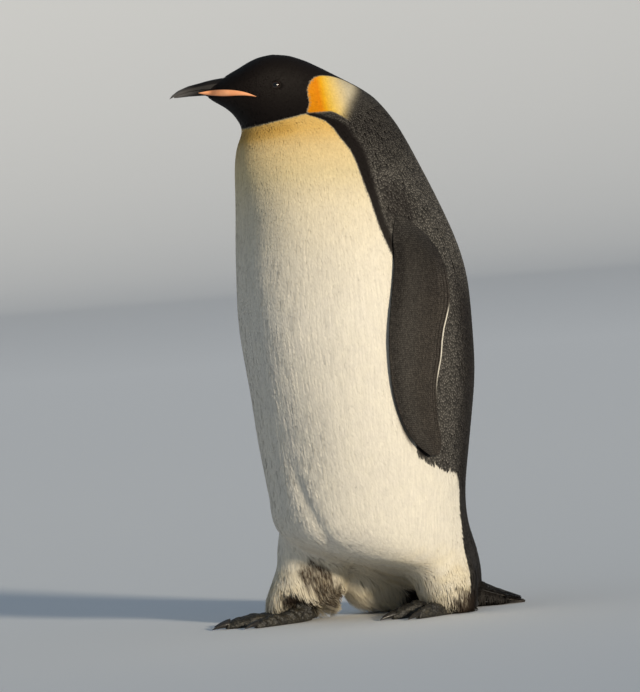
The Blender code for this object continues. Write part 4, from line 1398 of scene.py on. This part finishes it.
# %% Grow vanes
def vanes(roots, back, seed):
    """Closed vanes grown from roots: points, faces and what each point stores."""
    draw = np.random.default_rng(seed)
    count = len(roots)
    spots, normals = settle(roots)
    calm = calm_places(spots)
    length, width = feather_size(calm, back)
    ragged = 1 - smooth_step(calm[:, 2], 0.04, 0.12)
    length = length * draw.uniform(0.88 - 0.2 * ragged, 1.12 + 0.2 * ragged)
    width = width * draw.uniform(0.88, 1.12, count)
    depth = (coat_depth(calm) + SWELL) * draw.uniform(0.965 - 0.12 * ragged, 1.0)
    short = np.maximum(ankle(spots), ankle(spots + lie(spots, normals) * length[:, None]))
    length, depth = length * (1 - 0.6 * short), depth * (1 - 0.6 * short)
    roll = draw.normal(0, 0.028, count) + strand_tilt(spots, calm)
    turn = draw.normal(0, 1, count) * (0.035 + 0.12 * ragged)
    vane = BROAD_VANE if back else SLIM_VANE
    shares = vane["shares"]
    rings, centres = [], []
    for step, share in enumerate(shares):
        if step:
            heading = lie(spots, normals)
            heading = unit(heading + np.cross(normals, heading) * turn[:, None])
            reach = (share - shares[step - 1]) * length
            ahead = spots + heading * reach[:, None]
            spots, normals = settle(ahead)
            hang = hanging(ahead, normals)[:, None]
            spots = spots * (1 - hang) + (ahead + [0, 0, -1.0] * (0.5 * reach)[:, None]) * hang
        across = np.cross(lie(spots, normals), normals)
        across = unit(across + normals * roll[:, None])
        centre = spots + normals * (vane["heights"][step] * depth)[:, None]
        centres.append(centre)
        if vane["widths"][step]:
            slim = 1 - 0.45 * ragged * (step == len(shares) - 2)
            half = (vane["widths"][step] * width * slim)[:, None] * across
            keel = normals * (vane["keel"] * width)[:, None]
            lower = normals * (vane["lower"] * width)[:, None]
            rings += [centre - half - lower, centre + keel, centre + half - lower]
        else:
            rings.append(centre)
    points = np.stack(rings, axis=1)
    points[:, :, 2] = np.maximum(points[:, :, 2], 0.0012)
    visible = centres[-2] * 0.6 + centres[-1] * 0.4
    pattern, along = vane_pattern(shares)
    return points, pattern, np.array(along), visible, draw.uniform(0, 1, count)


print("one test vane:", vanes(roots_of["front"][:1], False, 1)[0].shape[1], "points")

# %% [markdown]
# ## A map of the skin for the coat
# Every feather also gets a small patch on a map, at its root's place on an unwrap of the skin:
# the angle round a bent spine by the way along it. The spine runs from the belly's underside
# up the trunk and the neck to the bill. An automatic unwrap would cut the skin into islands,
# and feathers that grow side by side could end up far apart on the map.

# %% Unwrap of the skin
SPINE = np.array([(0.06, 0.0), (0.01, 0.12), (0.0, 0.45), (-0.005, 0.72), (-0.05, 0.86),
                  (-0.11, 0.935), (-0.20, 0.935), (-0.31, 0.925)])


def skin_map(points):
    """The unwrap's two coordinates at some places, each from 0 to 1."""
    places = turned_back(points)
    best = np.full(len(points), 1e9)
    mapped = np.zeros((len(points), 2))
    start = 0.0
    total = np.linalg.norm(np.diff(SPINE, axis=0), axis=1).sum()
    for low, high in zip(SPINE[:-1], SPINE[1:]):
        length = np.linalg.norm(high - low)
        way = (high - low) / length
        offset = places[:, 1:] - low
        share = np.clip(offset @ way / length, 0, 1)
        rest = offset - (share * length)[:, None] * way
        reach = np.linalg.norm(rest, axis=1)
        front = offset @ np.array([-way[1], way[0]])
        nearer = reach < best
        best = np.where(nearer, reach, best)
        angle = np.arctan2(places[:, 0], front) / (2 * math.pi) + 0.5
        mapped[nearer, 0] = angle[nearer]
        mapped[nearer, 1] = ((start + share * length) / total)[nearer]
        start += length
    return 0.003 + 0.994 * mapped


print("crown on the map:", skin_map(np.array([[0, -0.06, CROWN]])).round(3)[0])

# %% [markdown]
# ## The coat
# The coat has nearly a million faces, so its meshes are filled from whole arrays at once, never
# face by face. Each vane is smooth over its keel but sharp along its rim, so that it looks
# like a thin blade and not like a sausage.

# %% Mesh of many vanes
def vane_mesh(name, points, pattern):
    """A mesh of many vanes that all have one pattern, and the vertex of each face corner."""
    count, corners, _ = points.shape
    sizes = np.tile([len(face) for face in pattern], count)
    flat = np.concatenate([np.array(face) for face in pattern])
    loops = (np.arange(count)[:, None] * corners + flat[None]).ravel()
    mesh = bpy.data.meshes.new(name)
    mesh.vertices.add(count * corners)
    mesh.vertices.foreach_set("co", points.astype(np.float32).ravel())
    mesh.loops.add(len(loops))
    mesh.loops.foreach_set("vertex_index", loops.astype(np.int32))
    mesh.polygons.add(len(sizes))
    mesh.polygons.foreach_set("loop_start", np.concatenate([[0], np.cumsum(sizes)[:-1]]))
    mesh.update(calc_edges=True)
    return mesh, loops


def sharpen_rims(mesh, corners):
    """Mark the edges round each vane's rim as sharp."""
    ends = np.empty(2 * len(mesh.edges), np.int32)
    mesh.edges.foreach_get("vertices", ends)
    part = ends.reshape(-1, 2) % corners
    keel = (part % 3 == 2) & (part > 0) & (part < corners - 1)
    same_line = part[:, 0] % 3 == part[:, 1] % 3
    at_an_end = (part == 0).any(axis=1) | (part == corners - 1).any(axis=1)
    layer = mesh.attributes.new("sharp_edge", "BOOLEAN", "EDGE")
    layer.data.foreach_set("value", ~keel.any(axis=1) & (same_line | at_an_end))


print("a vane has three points a ring: two on the rim and one on the keel")

# %% [markdown]
# Each piece of coat stores its markings, how far along its feather each point is, and the
# feather's tone. Its map, OFBake, holds one patch of 0.003 a feather.

# %% One piece of coat
TUFT_PATCH = 0.003


def tuft_patches(roots, along, corners):
    """Where each point of each feather lies on the map: a small patch at its root's place."""
    aside = np.choose(np.arange(corners) % 3, [1.0, -1.0, 0.0])
    aside[0] = aside[-1] = 0
    local = np.stack([aside, 2 * np.asarray(along) - 1], axis=1) * TUFT_PATCH / 2
    return (skin_map(roots)[:, None, :] + local[None]).reshape(-1, 2)


def coat_piece(name, points, pattern, along, marks, tones, roots, finish):
    """One piece of coat from the vanes' points and one vane's faces."""
    count, corners, _ = points.shape
    mesh, loops = vane_mesh(name, points, pattern)
    mesh.materials.append(finish)
    sharpen_rims(mesh, corners)
    stored = {key: marks[key] for key in MARKS}
    stored["along"] = np.tile(along, count)
    stored["tone"] = np.repeat(tones, corners)
    for key, values in stored.items():
        layer = mesh.attributes.new(key, "FLOAT", "POINT")
        layer.data.foreach_set("value", values.astype(np.float32))
    layer = mesh.uv_layers.new(name="OFBake")
    patches = tuft_patches(roots, along, corners)
    layer.data.foreach_set("uv", patches[loops].astype(np.float32).ravel())
    mesh.shade_smooth()
    piece = bpy.data.objects.new(name, mesh)
    bpy.context.scene.collection.objects.link(piece)
    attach(piece, "root")
    return piece


print("patches on the map are", TUFT_PATCH, "across")

# %% [markdown]
# High on the body the border of a marking runs through feathers, so it stays crisp. Low down,
# where the slate back meets the white leg in ragged tips, each feather is wholly one or the other.

# %% Dress the fields
BROAD = ("nape", "back")
MOST_TRIANGLES = 190000


def coat_marks(points, visible):
    """The markings of each point of each vane, but one slate or white tone a feather low down."""
    fine = markings(points.reshape(-1, 3))
    high = smooth_step(points[:, :, 2].ravel() / CROWN, 0.33, 0.36)
    whole = np.repeat(markings(visible)["grey"], points.shape[1])
    fine["grey"] = fine["grey"] * high + whole * (1 - high)
    return fine


def dressed(name, roots, seed):
    """The feathers of one field, cut by height into pieces of a fair size."""
    back = name in BROAD
    vane_faces, _ = vane_pattern((BROAD_VANE if back else SLIM_VANE)["shares"])
    triangles = len(roots) * sum(len(face) - 2 for face in vane_faces)
    pieces = math.ceil(triangles / MOST_TRIANGLES)
    order = np.argsort(roots[:, 2])
    for index, group in enumerate(np.array_split(order, pieces)):
        points, pattern, along, visible, tones = vanes(roots[group], back, seed + index)
        label = f"coat_{name}" if pieces == 1 else f"coat_{name}_{index + 1}"
        coat_piece(label, points, pattern, along, coat_marks(points, visible), tones,
                   roots[group], plumage_finish)
    return pieces


for seed, (name, (_, _, slot)) in enumerate(FIELDS.items()):
    made = dressed(name, roots_of[name], 100 + 10 * seed)
    print(f"{name}: {len(roots_of[name])} feathers, pieces: {made}")

# %% [markdown]
# ## Flipper scales
# A penguin's flipper is covered with thousands of tiny stiff feathers set in rows like scales,
# pointing to the tip. Poisson discs would lose those rows, so the scales are laid out in
# staggered rows on the nets read from the solids, with a slight wobble.

# %% Rows of scales
SCALE_ROW = 0.0034
SCALE_WIDTH = 0.0024


def on_net(net, row, column):
    """Places on a net at fractional rows and columns."""
    row = np.clip(row, 0, net.shape[0] - 1.001)
    column = np.clip(column, 0, net.shape[1] - 1.001)
    r, c = row.astype(int), column.astype(int)
    u, v = (row - r)[..., None], (column - c)[..., None]
    upper = net[r, c] * (1 - v) + net[r, c + 1] * v
    lower = net[r + 1, c] * (1 - v) + net[r + 1, c + 1] * v
    return upper * (1 - u) + lower * u


def scale_places(span_length, chords, draw):
    """The row and the column on the net of each scale, in staggered rows."""
    places = []
    count = int(span_length / SCALE_ROW)
    for step in range(count):
        row = step / count * (FLIPPER_ROWS - 1)
        across = max(3, int(chords[int(row)] / SCALE_WIDTH))
        for index in range(across):
            share = (index + 0.5 + 0.5 * (step % 2)) / (across + 0.5)
            places.append((row, share * (FLIPPER_COLUMNS - 1)))
    return np.array(places) + draw.normal(0, 1, (len(places), 2)) * [0.06, 0.07]


print("rows of scales every", SCALE_ROW * 1000, "mm")

# %% [markdown]
# A scale is a slim vane like the others, but it lies on the net. Where the blade is thin, at its
# rear edge, the scales lie flatter, or the two faces would poke through each other.

# %% Scales of one face
SCALE_LENGTH = 0.0072
SCALE_VANE = {"shares": [0.0, 0.42, 0.84, 1.0], "heights": [-0.0012, -0.0006, -0.0001, 0.0],
              "widths": [0.0, 1.0, 0.86, 0.0]}


def flipper_scales(side_name, outside, seed):
    """The scales on one face of a flipper."""
    draw = np.random.default_rng(seed)
    net = flipper_nets[side_name][0 if outside else 1]
    other = flipper_nets[side_name][1 if outside else 0]
    side = SIDE_SIGN[side_name] * (1 if outside else -1)
    span_length = net[0, 0, 2] - net[-1, 0, 2]
    chords = np.abs(net[:, -1, 1] - net[:, 0, 1])
    places = scale_places(span_length, chords, draw)
    row, column = places.T
    rows_long = SCALE_LENGTH / span_length * (FLIPPER_ROWS - 1) * draw.uniform(0.9, 1.1, len(row))
    half_column = (0.5 * SCALE_WIDTH * 1.25 * (FLIPPER_COLUMNS - 1)
                   / chords[np.clip(row.astype(int), 0, FLIPPER_ROWS - 1)])
    out = np.array([side, 0.0, 0.0])
    thickness = np.abs(on_net(net, row, column) - on_net(other, row, column))[:, 0]
    fit = np.clip((thickness / 2 - 0.0003) / 0.0012, 0.02, 1)[:, None]
    rings, spans, chord_shares = [], [], []
    for share, height, wide in zip(*SCALE_VANE.values()):
        at = row + share * rows_long
        middle = on_net(net, at, column) + out * height * fit
        reach = side * half_column * wide
        if wide:
            lower = out * (height - 0.0004) * fit
            rings += [on_net(net, at, column - reach) + lower, middle + out * 0.0001,
                      on_net(net, at, column + reach) + lower]
            chord_shares += [column - reach, column, column + reach]
        else:
            rings.append(middle)
            chord_shares.append(column)
        spans += [at] * (3 if wide else 1)
    pattern, along = vane_pattern(SCALE_VANE["shares"])
    marks = flipper_marks(np.stack(spans, axis=1).ravel() / (FLIPPER_ROWS - 1),
                          np.stack(chord_shares, axis=1).ravel() / (FLIPPER_COLUMNS - 1),
                          float(outside))
    tones = draw.uniform(0, 1, len(row))
    return np.stack(rings, axis=1), pattern, along, marks, tones, on_net(net, row, column)


print("a scale is about", SCALE_LENGTH * 1000, "mm long")

# %% [markdown]
# The scales of a flipper's outer and inner face become one piece of coat, because they have the
# same pattern and move together.

# %% Scales of both flippers
for seed, side_name in enumerate(SIDES):
    halves = [flipper_scales(side_name, outside, 60 + 2 * seed + outside)
              for outside in (True, False)]
    points, pattern, along, marks, tones, roots = zip(*halves)
    marks = {key: np.concatenate([half[key] for half in marks]) for key in MARKS}
    coat_piece(f"coat_flipper_{side_name}", np.concatenate(points), pattern[0],
               along[0], marks, np.concatenate(tones), np.concatenate(roots), plumage_finish)
    print(f"{side_name} flipper: {sum(map(len, tones))} scales")

# %% [markdown]
# ## Tail
# The tail is a short fan of stiff blades that touches the ground. Each blade is a long closed
# vane with a raised shaft along its middle, and three layers lie over each other like roof
# slates. Rays from above keep every layer under the top of the solid tail.

# %% One tail blade
BLADE_STEPS = 9
BLADE_HALF_WIDTH = 0.0048
tail_low, tail_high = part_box("tail")
tail_tree = solid_tree("tail")


def tail_blade(root, tip_x, reach, layer, number):
    """The four-sided rings of one blade from its root to its tip, and each ring's share."""
    rings, shares = [], np.linspace(0, 1, BLADE_STEPS)
    for share in shares:
        x = root[0] + (tip_x - root[0]) * share ** 0.8
        y = root[1] + reach * share
        top = tail_tree.ray_cast(Vector((x, y, 1)), Vector((0, 0, -1)))[0]
        ceiling = top.z if top is not None else 0.003
        if y < tail_low.y:
            ceiling = tail_high.z - 0.002
        z = max(0.0012, ceiling * (0.35 + 0.30 * layer + 0.05 * math.cos(3 * number)) - 0.001)
        half = BLADE_HALF_WIDTH * min(1, 0.5 + 1.5 * share) * (1 - share ** 6 * 0.85)
        edge_z = max(0.0004, z - 0.0006)
        rings.append([(x - half, y, edge_z), (x, y, z + 0.0009), (x + half, y, edge_z),
                      (x, y, max(0.0002, z - 0.0009))])
    return np.array(rings), np.repeat(shares, 4)


print("tail reaches back to y =", round(tail_high.y, 4))

# %% [markdown]
# The fan is widest at its tips. Outer blades are shorter, lower layers are longer, and each
# blade's length varies a little, so the end of the tail isn't cut straight.

# %% The fan
def tail_fan(blades=17):
    """The blades in three layers: points, faces and the share along each blade."""
    draw = np.random.default_rng(70)
    shapes, along = [], []
    for layer in range(3):
        number = blades - 3 * layer
        for blade in range(number):
            aside = (blade - (number - 1) / 2) / ((number - 1) / 2)
            root = np.array([aside * 0.030, tail_low.y - 0.012])
            reach = (tail_high.y - root[1] - 0.001) * (1 - 0.16 * aside ** 2 - 0.13 * layer)
            reach *= draw.uniform(0.95, 1.0)
            tip_x = aside * (tail_high.x - 0.006) * (1 - 0.05 * layer)
            rings, shares = tail_blade(root, tip_x, reach, layer, blade)
            last = 4 * (BLADE_STEPS - 1)
            faces = [(a + (k + 1) % 4, a + 4 + (k + 1) % 4, a + 4 + k, a + k)
                     for a in range(0, last, 4) for k in range(4)]
            faces += [(0, 1, 2, 3), (last + 3, last + 2, last + 1, last)]
            shapes.append((rings.reshape(-1, 3), faces))
            along.append(shares)
    return *joined(shapes), np.concatenate(along)


def tail_finish():
    """Dark stiff feathers, pale brown at the tips from wear."""
    finish = Finish("tail feathers", roughness=0.5)
    along = finish.attribute("along")
    colour = finish.ramp(along, [(0.0, (0.009, 0.008, 0.008)), (0.75, (0.014, 0.011, 0.010)),
                                 (1.0, (0.060, 0.046, 0.034))])
    finish.bump(finish.noise(900.0, 2.0, (1, 0.1, 1)), 0.3, 0.0004)
    return finish.colour(colour)


points, faces, along = tail_fan()
tail = new_piece("tail_feathers", points, faces, tail_finish(), {"along": along})
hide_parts("tail")
print("tail:", len(faces), "faces")

# %% [markdown]
# ## Bill
# The bill is slim bluish black horn that droops at its tip. Its two halves keep the solids'
# shape, wrapped at a fine voxel and relaxed a little, so that the facets go and the edges stay.
# The relaxing opens a thin slit along the gape, so the lower half's top is raised to the upper.

# %% Shape the bill
BILL_VOXEL = 0.0008


def smooth_copy(nodes, voxel, rounds):
    """A smooth wrap of a few solids at their own size."""
    points, faces = wrapped(nodes, voxel)
    points = points - normals_of(points, faces) * SWELL
    return relaxed(points, edges_of(faces), 0.5, rounds), faces


def meeting(points, faces, ceiling):
    """The lower bill's upper side raised until it meets the upper bill all along the gape."""
    upward = smooth_step(normals_of(points, faces)[:, 2], 0.0, 0.6)
    for index in np.flatnonzero(upward > 0):
        start = Vector(points[index]) - Vector((0, 0, 0.001))
        spot = ceiling.ray_cast(start, Vector((0, 0, 1)), 0.007)[0]
        if spot is not None:
            points[index, 2] += upward[index] * max(0.0, spot.z - points[index, 2] - 0.0002)
    return points


(upper_points, upper_faces), (lower_points, lower_faces) = (
    smooth_copy([node], BILL_VOXEL, 4) for node in ("bill_upper", "bill_lower"))
upper_points = lifted(upper_points)
upper_tree = tree_of(upper_points, upper_faces)
lower_points = meeting(lifted(lower_points), lower_faces, upper_tree)
print("bill:", len(upper_faces), "and", len(lower_faces), "faces")

# %% [markdown]
# Horn is darkest near the face and paler towards the tip.
# A stored number tells the finish how near the tip a point is. The plates are the one bright
# smooth thing on the head, a little glossier and mottled between orange and pink.

# %% Finish the bill and the plates
def bill_horn():
    """Bluish grey black horn, paler towards the tip."""
    finish = Finish("bill horn", roughness=0.42)
    finish.set(Specular_IOR_Level=0.25)
    cloudy = finish.noise(45.0, 4.0)
    tone_layer = finish.ramp(cloudy, [(0.35, (0.004, 0.003, 0.003)), (0.75, (0.009, 0.007, 0.006))])
    tip = finish.mix(finish.attribute("tip"), tone_layer, (0.082, 0.079, 0.080))
    finish.bump(finish.noise(320.0, 3.0), 0.25, 0.0004)
    return finish.colour(tip)


def plate_horn():
    """The orange pink plate of the lower bill."""
    finish = Finish("bill plate", roughness=0.35)
    cloudy = finish.noise(50.0, 3.0)
    colour = finish.ramp(cloudy, [(0.3, (0.80, 0.29, 0.11)), (0.7, (0.88, 0.42, 0.21))])
    return finish.colour(colour)


bill_finish = bill_horn()
for node, points, faces in (("bill_upper", upper_points, upper_faces),
                            ("bill_lower", lower_points, lower_faces)):
    tip_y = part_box(node)[0].y
    tone_layer = 1 - smooth_step(points[:, 1], tip_y, tip_y + 0.045)
    piece = new_piece(f"{node}_horn", points, faces, bill_finish, {"tip": tone_layer})
    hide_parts(node)
plate_finish = plate_horn()
for side_name in SIDES:
    piece = new_piece(f"bill_plate_{side_name}_horn", *plate_shapes[side_name], plate_finish)
    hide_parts(f"bill_plate_{side_name}")
print("bill and two plates set")

# %% [markdown]
# ## Claws
# Six strong black brown claws grip the ice. They keep the solids' shape and become one piece,
# because nothing moves between them.

# %% Claws
def claw_horn():
    """Black brown horn."""
    finish = Finish("claw horn", roughness=0.32)
    colour = finish.ramp(finish.noise(150.0, 3.0), [(0.3, (0.010, 0.008, 0.007)),
                                                    (0.7, (0.030, 0.026, 0.022))])
    return finish.colour(colour)


CLAW_VOXEL = 0.0009
CLAWS = [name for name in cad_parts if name.startswith("claw_")]
claws = new_piece("claws", *smooth_copy(CLAWS, CLAW_VOXEL, 2), claw_horn())
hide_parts(*CLAWS)
print(len(CLAWS), "claws")

# %% [markdown]
# ## Eyes
# The eyes are smooth wet balls, nearly lost in the black hood but for their glint. Iris and
# pupil are colours by the angle from the eye's axis, which is stored on the ball, so the eye
# needs no picture. A thin clear coat makes the glint sharp.

# %% Eyes
def eye_ball():
    """A wet eye with a black pupil and a very dark brown iris."""
    finish = Finish("eye", roughness=0.14)
    finish.set(Coat_Weight=0.4, Coat_Roughness=0.08)
    colour = finish.ramp(finish.attribute("off_axis"), [
        (0.0, (0.0015, 0.0015, 0.0015)), (0.28, (0.0015, 0.0015, 0.0015)),
        (0.33, (0.020, 0.009, 0.005)), (0.62, (0.028, 0.013, 0.007)), (0.75, (0.004, 0.003, 0.002)),
    ])
    return finish.colour(colour)


eye_finish = eye_ball()
for side_name in SIDES:
    shape = bmesh.new()
    bmesh.ops.create_uvsphere(shape, u_segments=48, v_segments=32, radius=EYE_RADIUS)
    shape.verts.index_update()
    places = np.array([tuple(vertex.co) for vertex in shape.verts])
    corners = [tuple(vertex.index for vertex in face.verts) for face in shape.faces]
    shape.free()
    off_axis = np.arccos(np.clip(unit(places) @ EYE_AXES[side_name], -1, 1)) / (math.pi / 2)
    eyeball = new_piece(f"eyeball_{side_name}", places + middle_of(f"eye_{side_name}"), corners,
                        eye_finish, {"off_axis": off_axis})
    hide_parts(f"eye_{side_name}")
print("eyes set, radius", round(1000 * EYE_RADIUS, 1), "mm")

# %% [markdown]
# ## Floor
# The bird stands on a plain pale floor that curves up far behind it, so no corner shows. It is
# a round profile turned about the middle. Its colour darkens a little with the distance, which
# gives a calm background without a gradient in the light.

# %% Floor finish
FLOOR_REACH = 20.0
WALL_HEIGHT = 4.0


def floor_finish():
    """Pale matt floor, a little darker far away."""
    finish = Finish("pale floor", roughness=0.9)
    finish.set(Specular_IOR_Level=0.1)
    reach = finish.tree.nodes.new("ShaderNodeVectorMath")
    reach.operation = "LENGTH"
    finish.link(finish.place(), reach.inputs[0])
    share = finish.number("DIVIDE", reach.outputs["Value"], FLOOR_REACH + WALL_HEIGHT)
    return finish.colour(finish.ramp(share, [
        (0.0, (0.90, 0.91, 0.93)), (0.5, (0.84, 0.86, 0.90)), (1.0, (0.50, 0.53, 0.58))]))


print("floor reaches", FLOOR_REACH, "m")

# %% [markdown]
# The profile is two points on the ground and a quarter circle. It is turned in 96 steps, and the
# middle is closed with a fan of triangles.

# %% Turn the floor
def stage_floor(segments=96):
    """A round floor whose rim curves up into a wall far away."""
    profile = [(6.0, 0.0), (FLOOR_REACH, 0.0)]
    profile += [(FLOOR_REACH + WALL_HEIGHT * math.sin(a), WALL_HEIGHT - WALL_HEIGHT * math.cos(a))
                for a in np.linspace(0.1, math.pi / 2, 12)]
    turns = [2 * math.pi * k / segments for k in range(segments)]
    points = [(0, 0, 0)] + [(reach * math.cos(turn), reach * math.sin(turn), height)
                            for reach, height in profile for turn in turns]
    faces = []
    for k in range(segments):
        following = (k + 1) % segments
        faces.append((0, 1 + k, 1 + following))
        for start in range(1, 1 + segments * (len(profile) - 1), segments):
            faces.append((start + k, start + segments + k, start + segments + following,
                          start + following))
    mesh = bpy.data.meshes.new("floor")
    mesh.from_pydata(points, [], faces)
    mesh.materials.append(floor_finish())
    mesh.shade_smooth()
    floor = bpy.data.objects.new("floor", mesh)
    bpy.context.scene.collection.objects.link(floor)
    return floor


floor = stage_floor()
print("floor:", len(floor.data.polygons), "faces")

# %% [markdown]
# ## Light
# One low warm light from the camera's right models the breast, like a sun near the horizon, and
# a pale cool sky fills the shade. More lamps would make more shadows on the floor. The light's
# disc is a few degrees wide, which softens the shadows' edges.

# %% Light
VIEW_AZIMUTH = math.radians(66)
VIEW_RIGHT = Vector((math.cos(VIEW_AZIMUTH), math.sin(VIEW_AZIMUTH), 0))
VIEW_AHEAD = Vector((-math.sin(VIEW_AZIMUTH), math.cos(VIEW_AZIMUTH), 0))

world = bpy.data.worlds.new("pale room")
world.use_nodes = True
sky = world.node_tree.nodes["Background"]
sky.inputs["Color"].default_value = (0.69, 0.84, 1.0, 1)
sky.inputs["Strength"].default_value = 0.27
bpy.context.scene.world = world
bpy.context.scene.view_settings.view_transform = "Standard"


def sun(name, to_right, to_camera, elevation, strength, size, colour):
    """A distant lamp, placed by angles as seen from the camera."""
    lamp = bpy.data.lights.new(name, "SUN")
    lamp.energy = strength
    lamp.angle = math.radians(size)
    lamp.color = colour
    from_bird = VIEW_RIGHT * to_right - VIEW_AHEAD * to_camera
    from_bird = from_bird.normalized() * math.cos(math.radians(elevation))
    from_bird.z = math.sin(math.radians(elevation))
    holder = bpy.data.objects.new(name, lamp)
    holder.rotation_euler = (-from_bird).to_track_quat("-Z", "Y").to_euler()
    bpy.context.scene.collection.objects.link(holder)


sun("low warm light", to_right=0.54, to_camera=0.842, elevation=11.0, strength=3.6, size=6,
    colour=(1.0, 0.885, 0.70))
print("lit from the right")

# %% [markdown]
# ## Camera
# A long lens from 12 m away looks at the bird's left front, from just above its middle, so
# the upright body keeps its true proportions. The camera is rolled a few degrees, because the
# bird is seen standing on gently sloping ground.

# %% Camera
CAMERA_ELEVATION = math.radians(2.0)
CAMERA_ROLL = math.radians(-4.6)
CAMERA_DISTANCE = 12.0
AIM_RIGHT = -0.0585
AIM_UP = -0.0162
LENS = 374.2

look = VIEW_AHEAD * math.cos(CAMERA_ELEVATION) - Vector((0, 0, math.sin(CAMERA_ELEVATION)))
up = VIEW_RIGHT.cross(look)
target = Vector((0, 0, 0.475)) + VIEW_RIGHT * AIM_RIGHT + up * AIM_UP
roll_right = VIEW_RIGHT * math.cos(CAMERA_ROLL) + up * math.sin(CAMERA_ROLL)
roll_up = up * math.cos(CAMERA_ROLL) - VIEW_RIGHT * math.sin(CAMERA_ROLL)
lens = bpy.data.cameras.new("camera")
lens.lens = LENS
lens.clip_end = 200
camera = bpy.data.objects.new("camera", lens)
placing = Matrix((roll_right, roll_up, -look)).transposed().to_4x4()
placing.translation = target - look * CAMERA_DISTANCE
camera.matrix_world = placing
bpy.context.scene.collection.objects.link(camera)
bpy.context.scene.camera = camera
print("camera at", [round(value, 2) for value in placing.translation])

# %% [markdown]
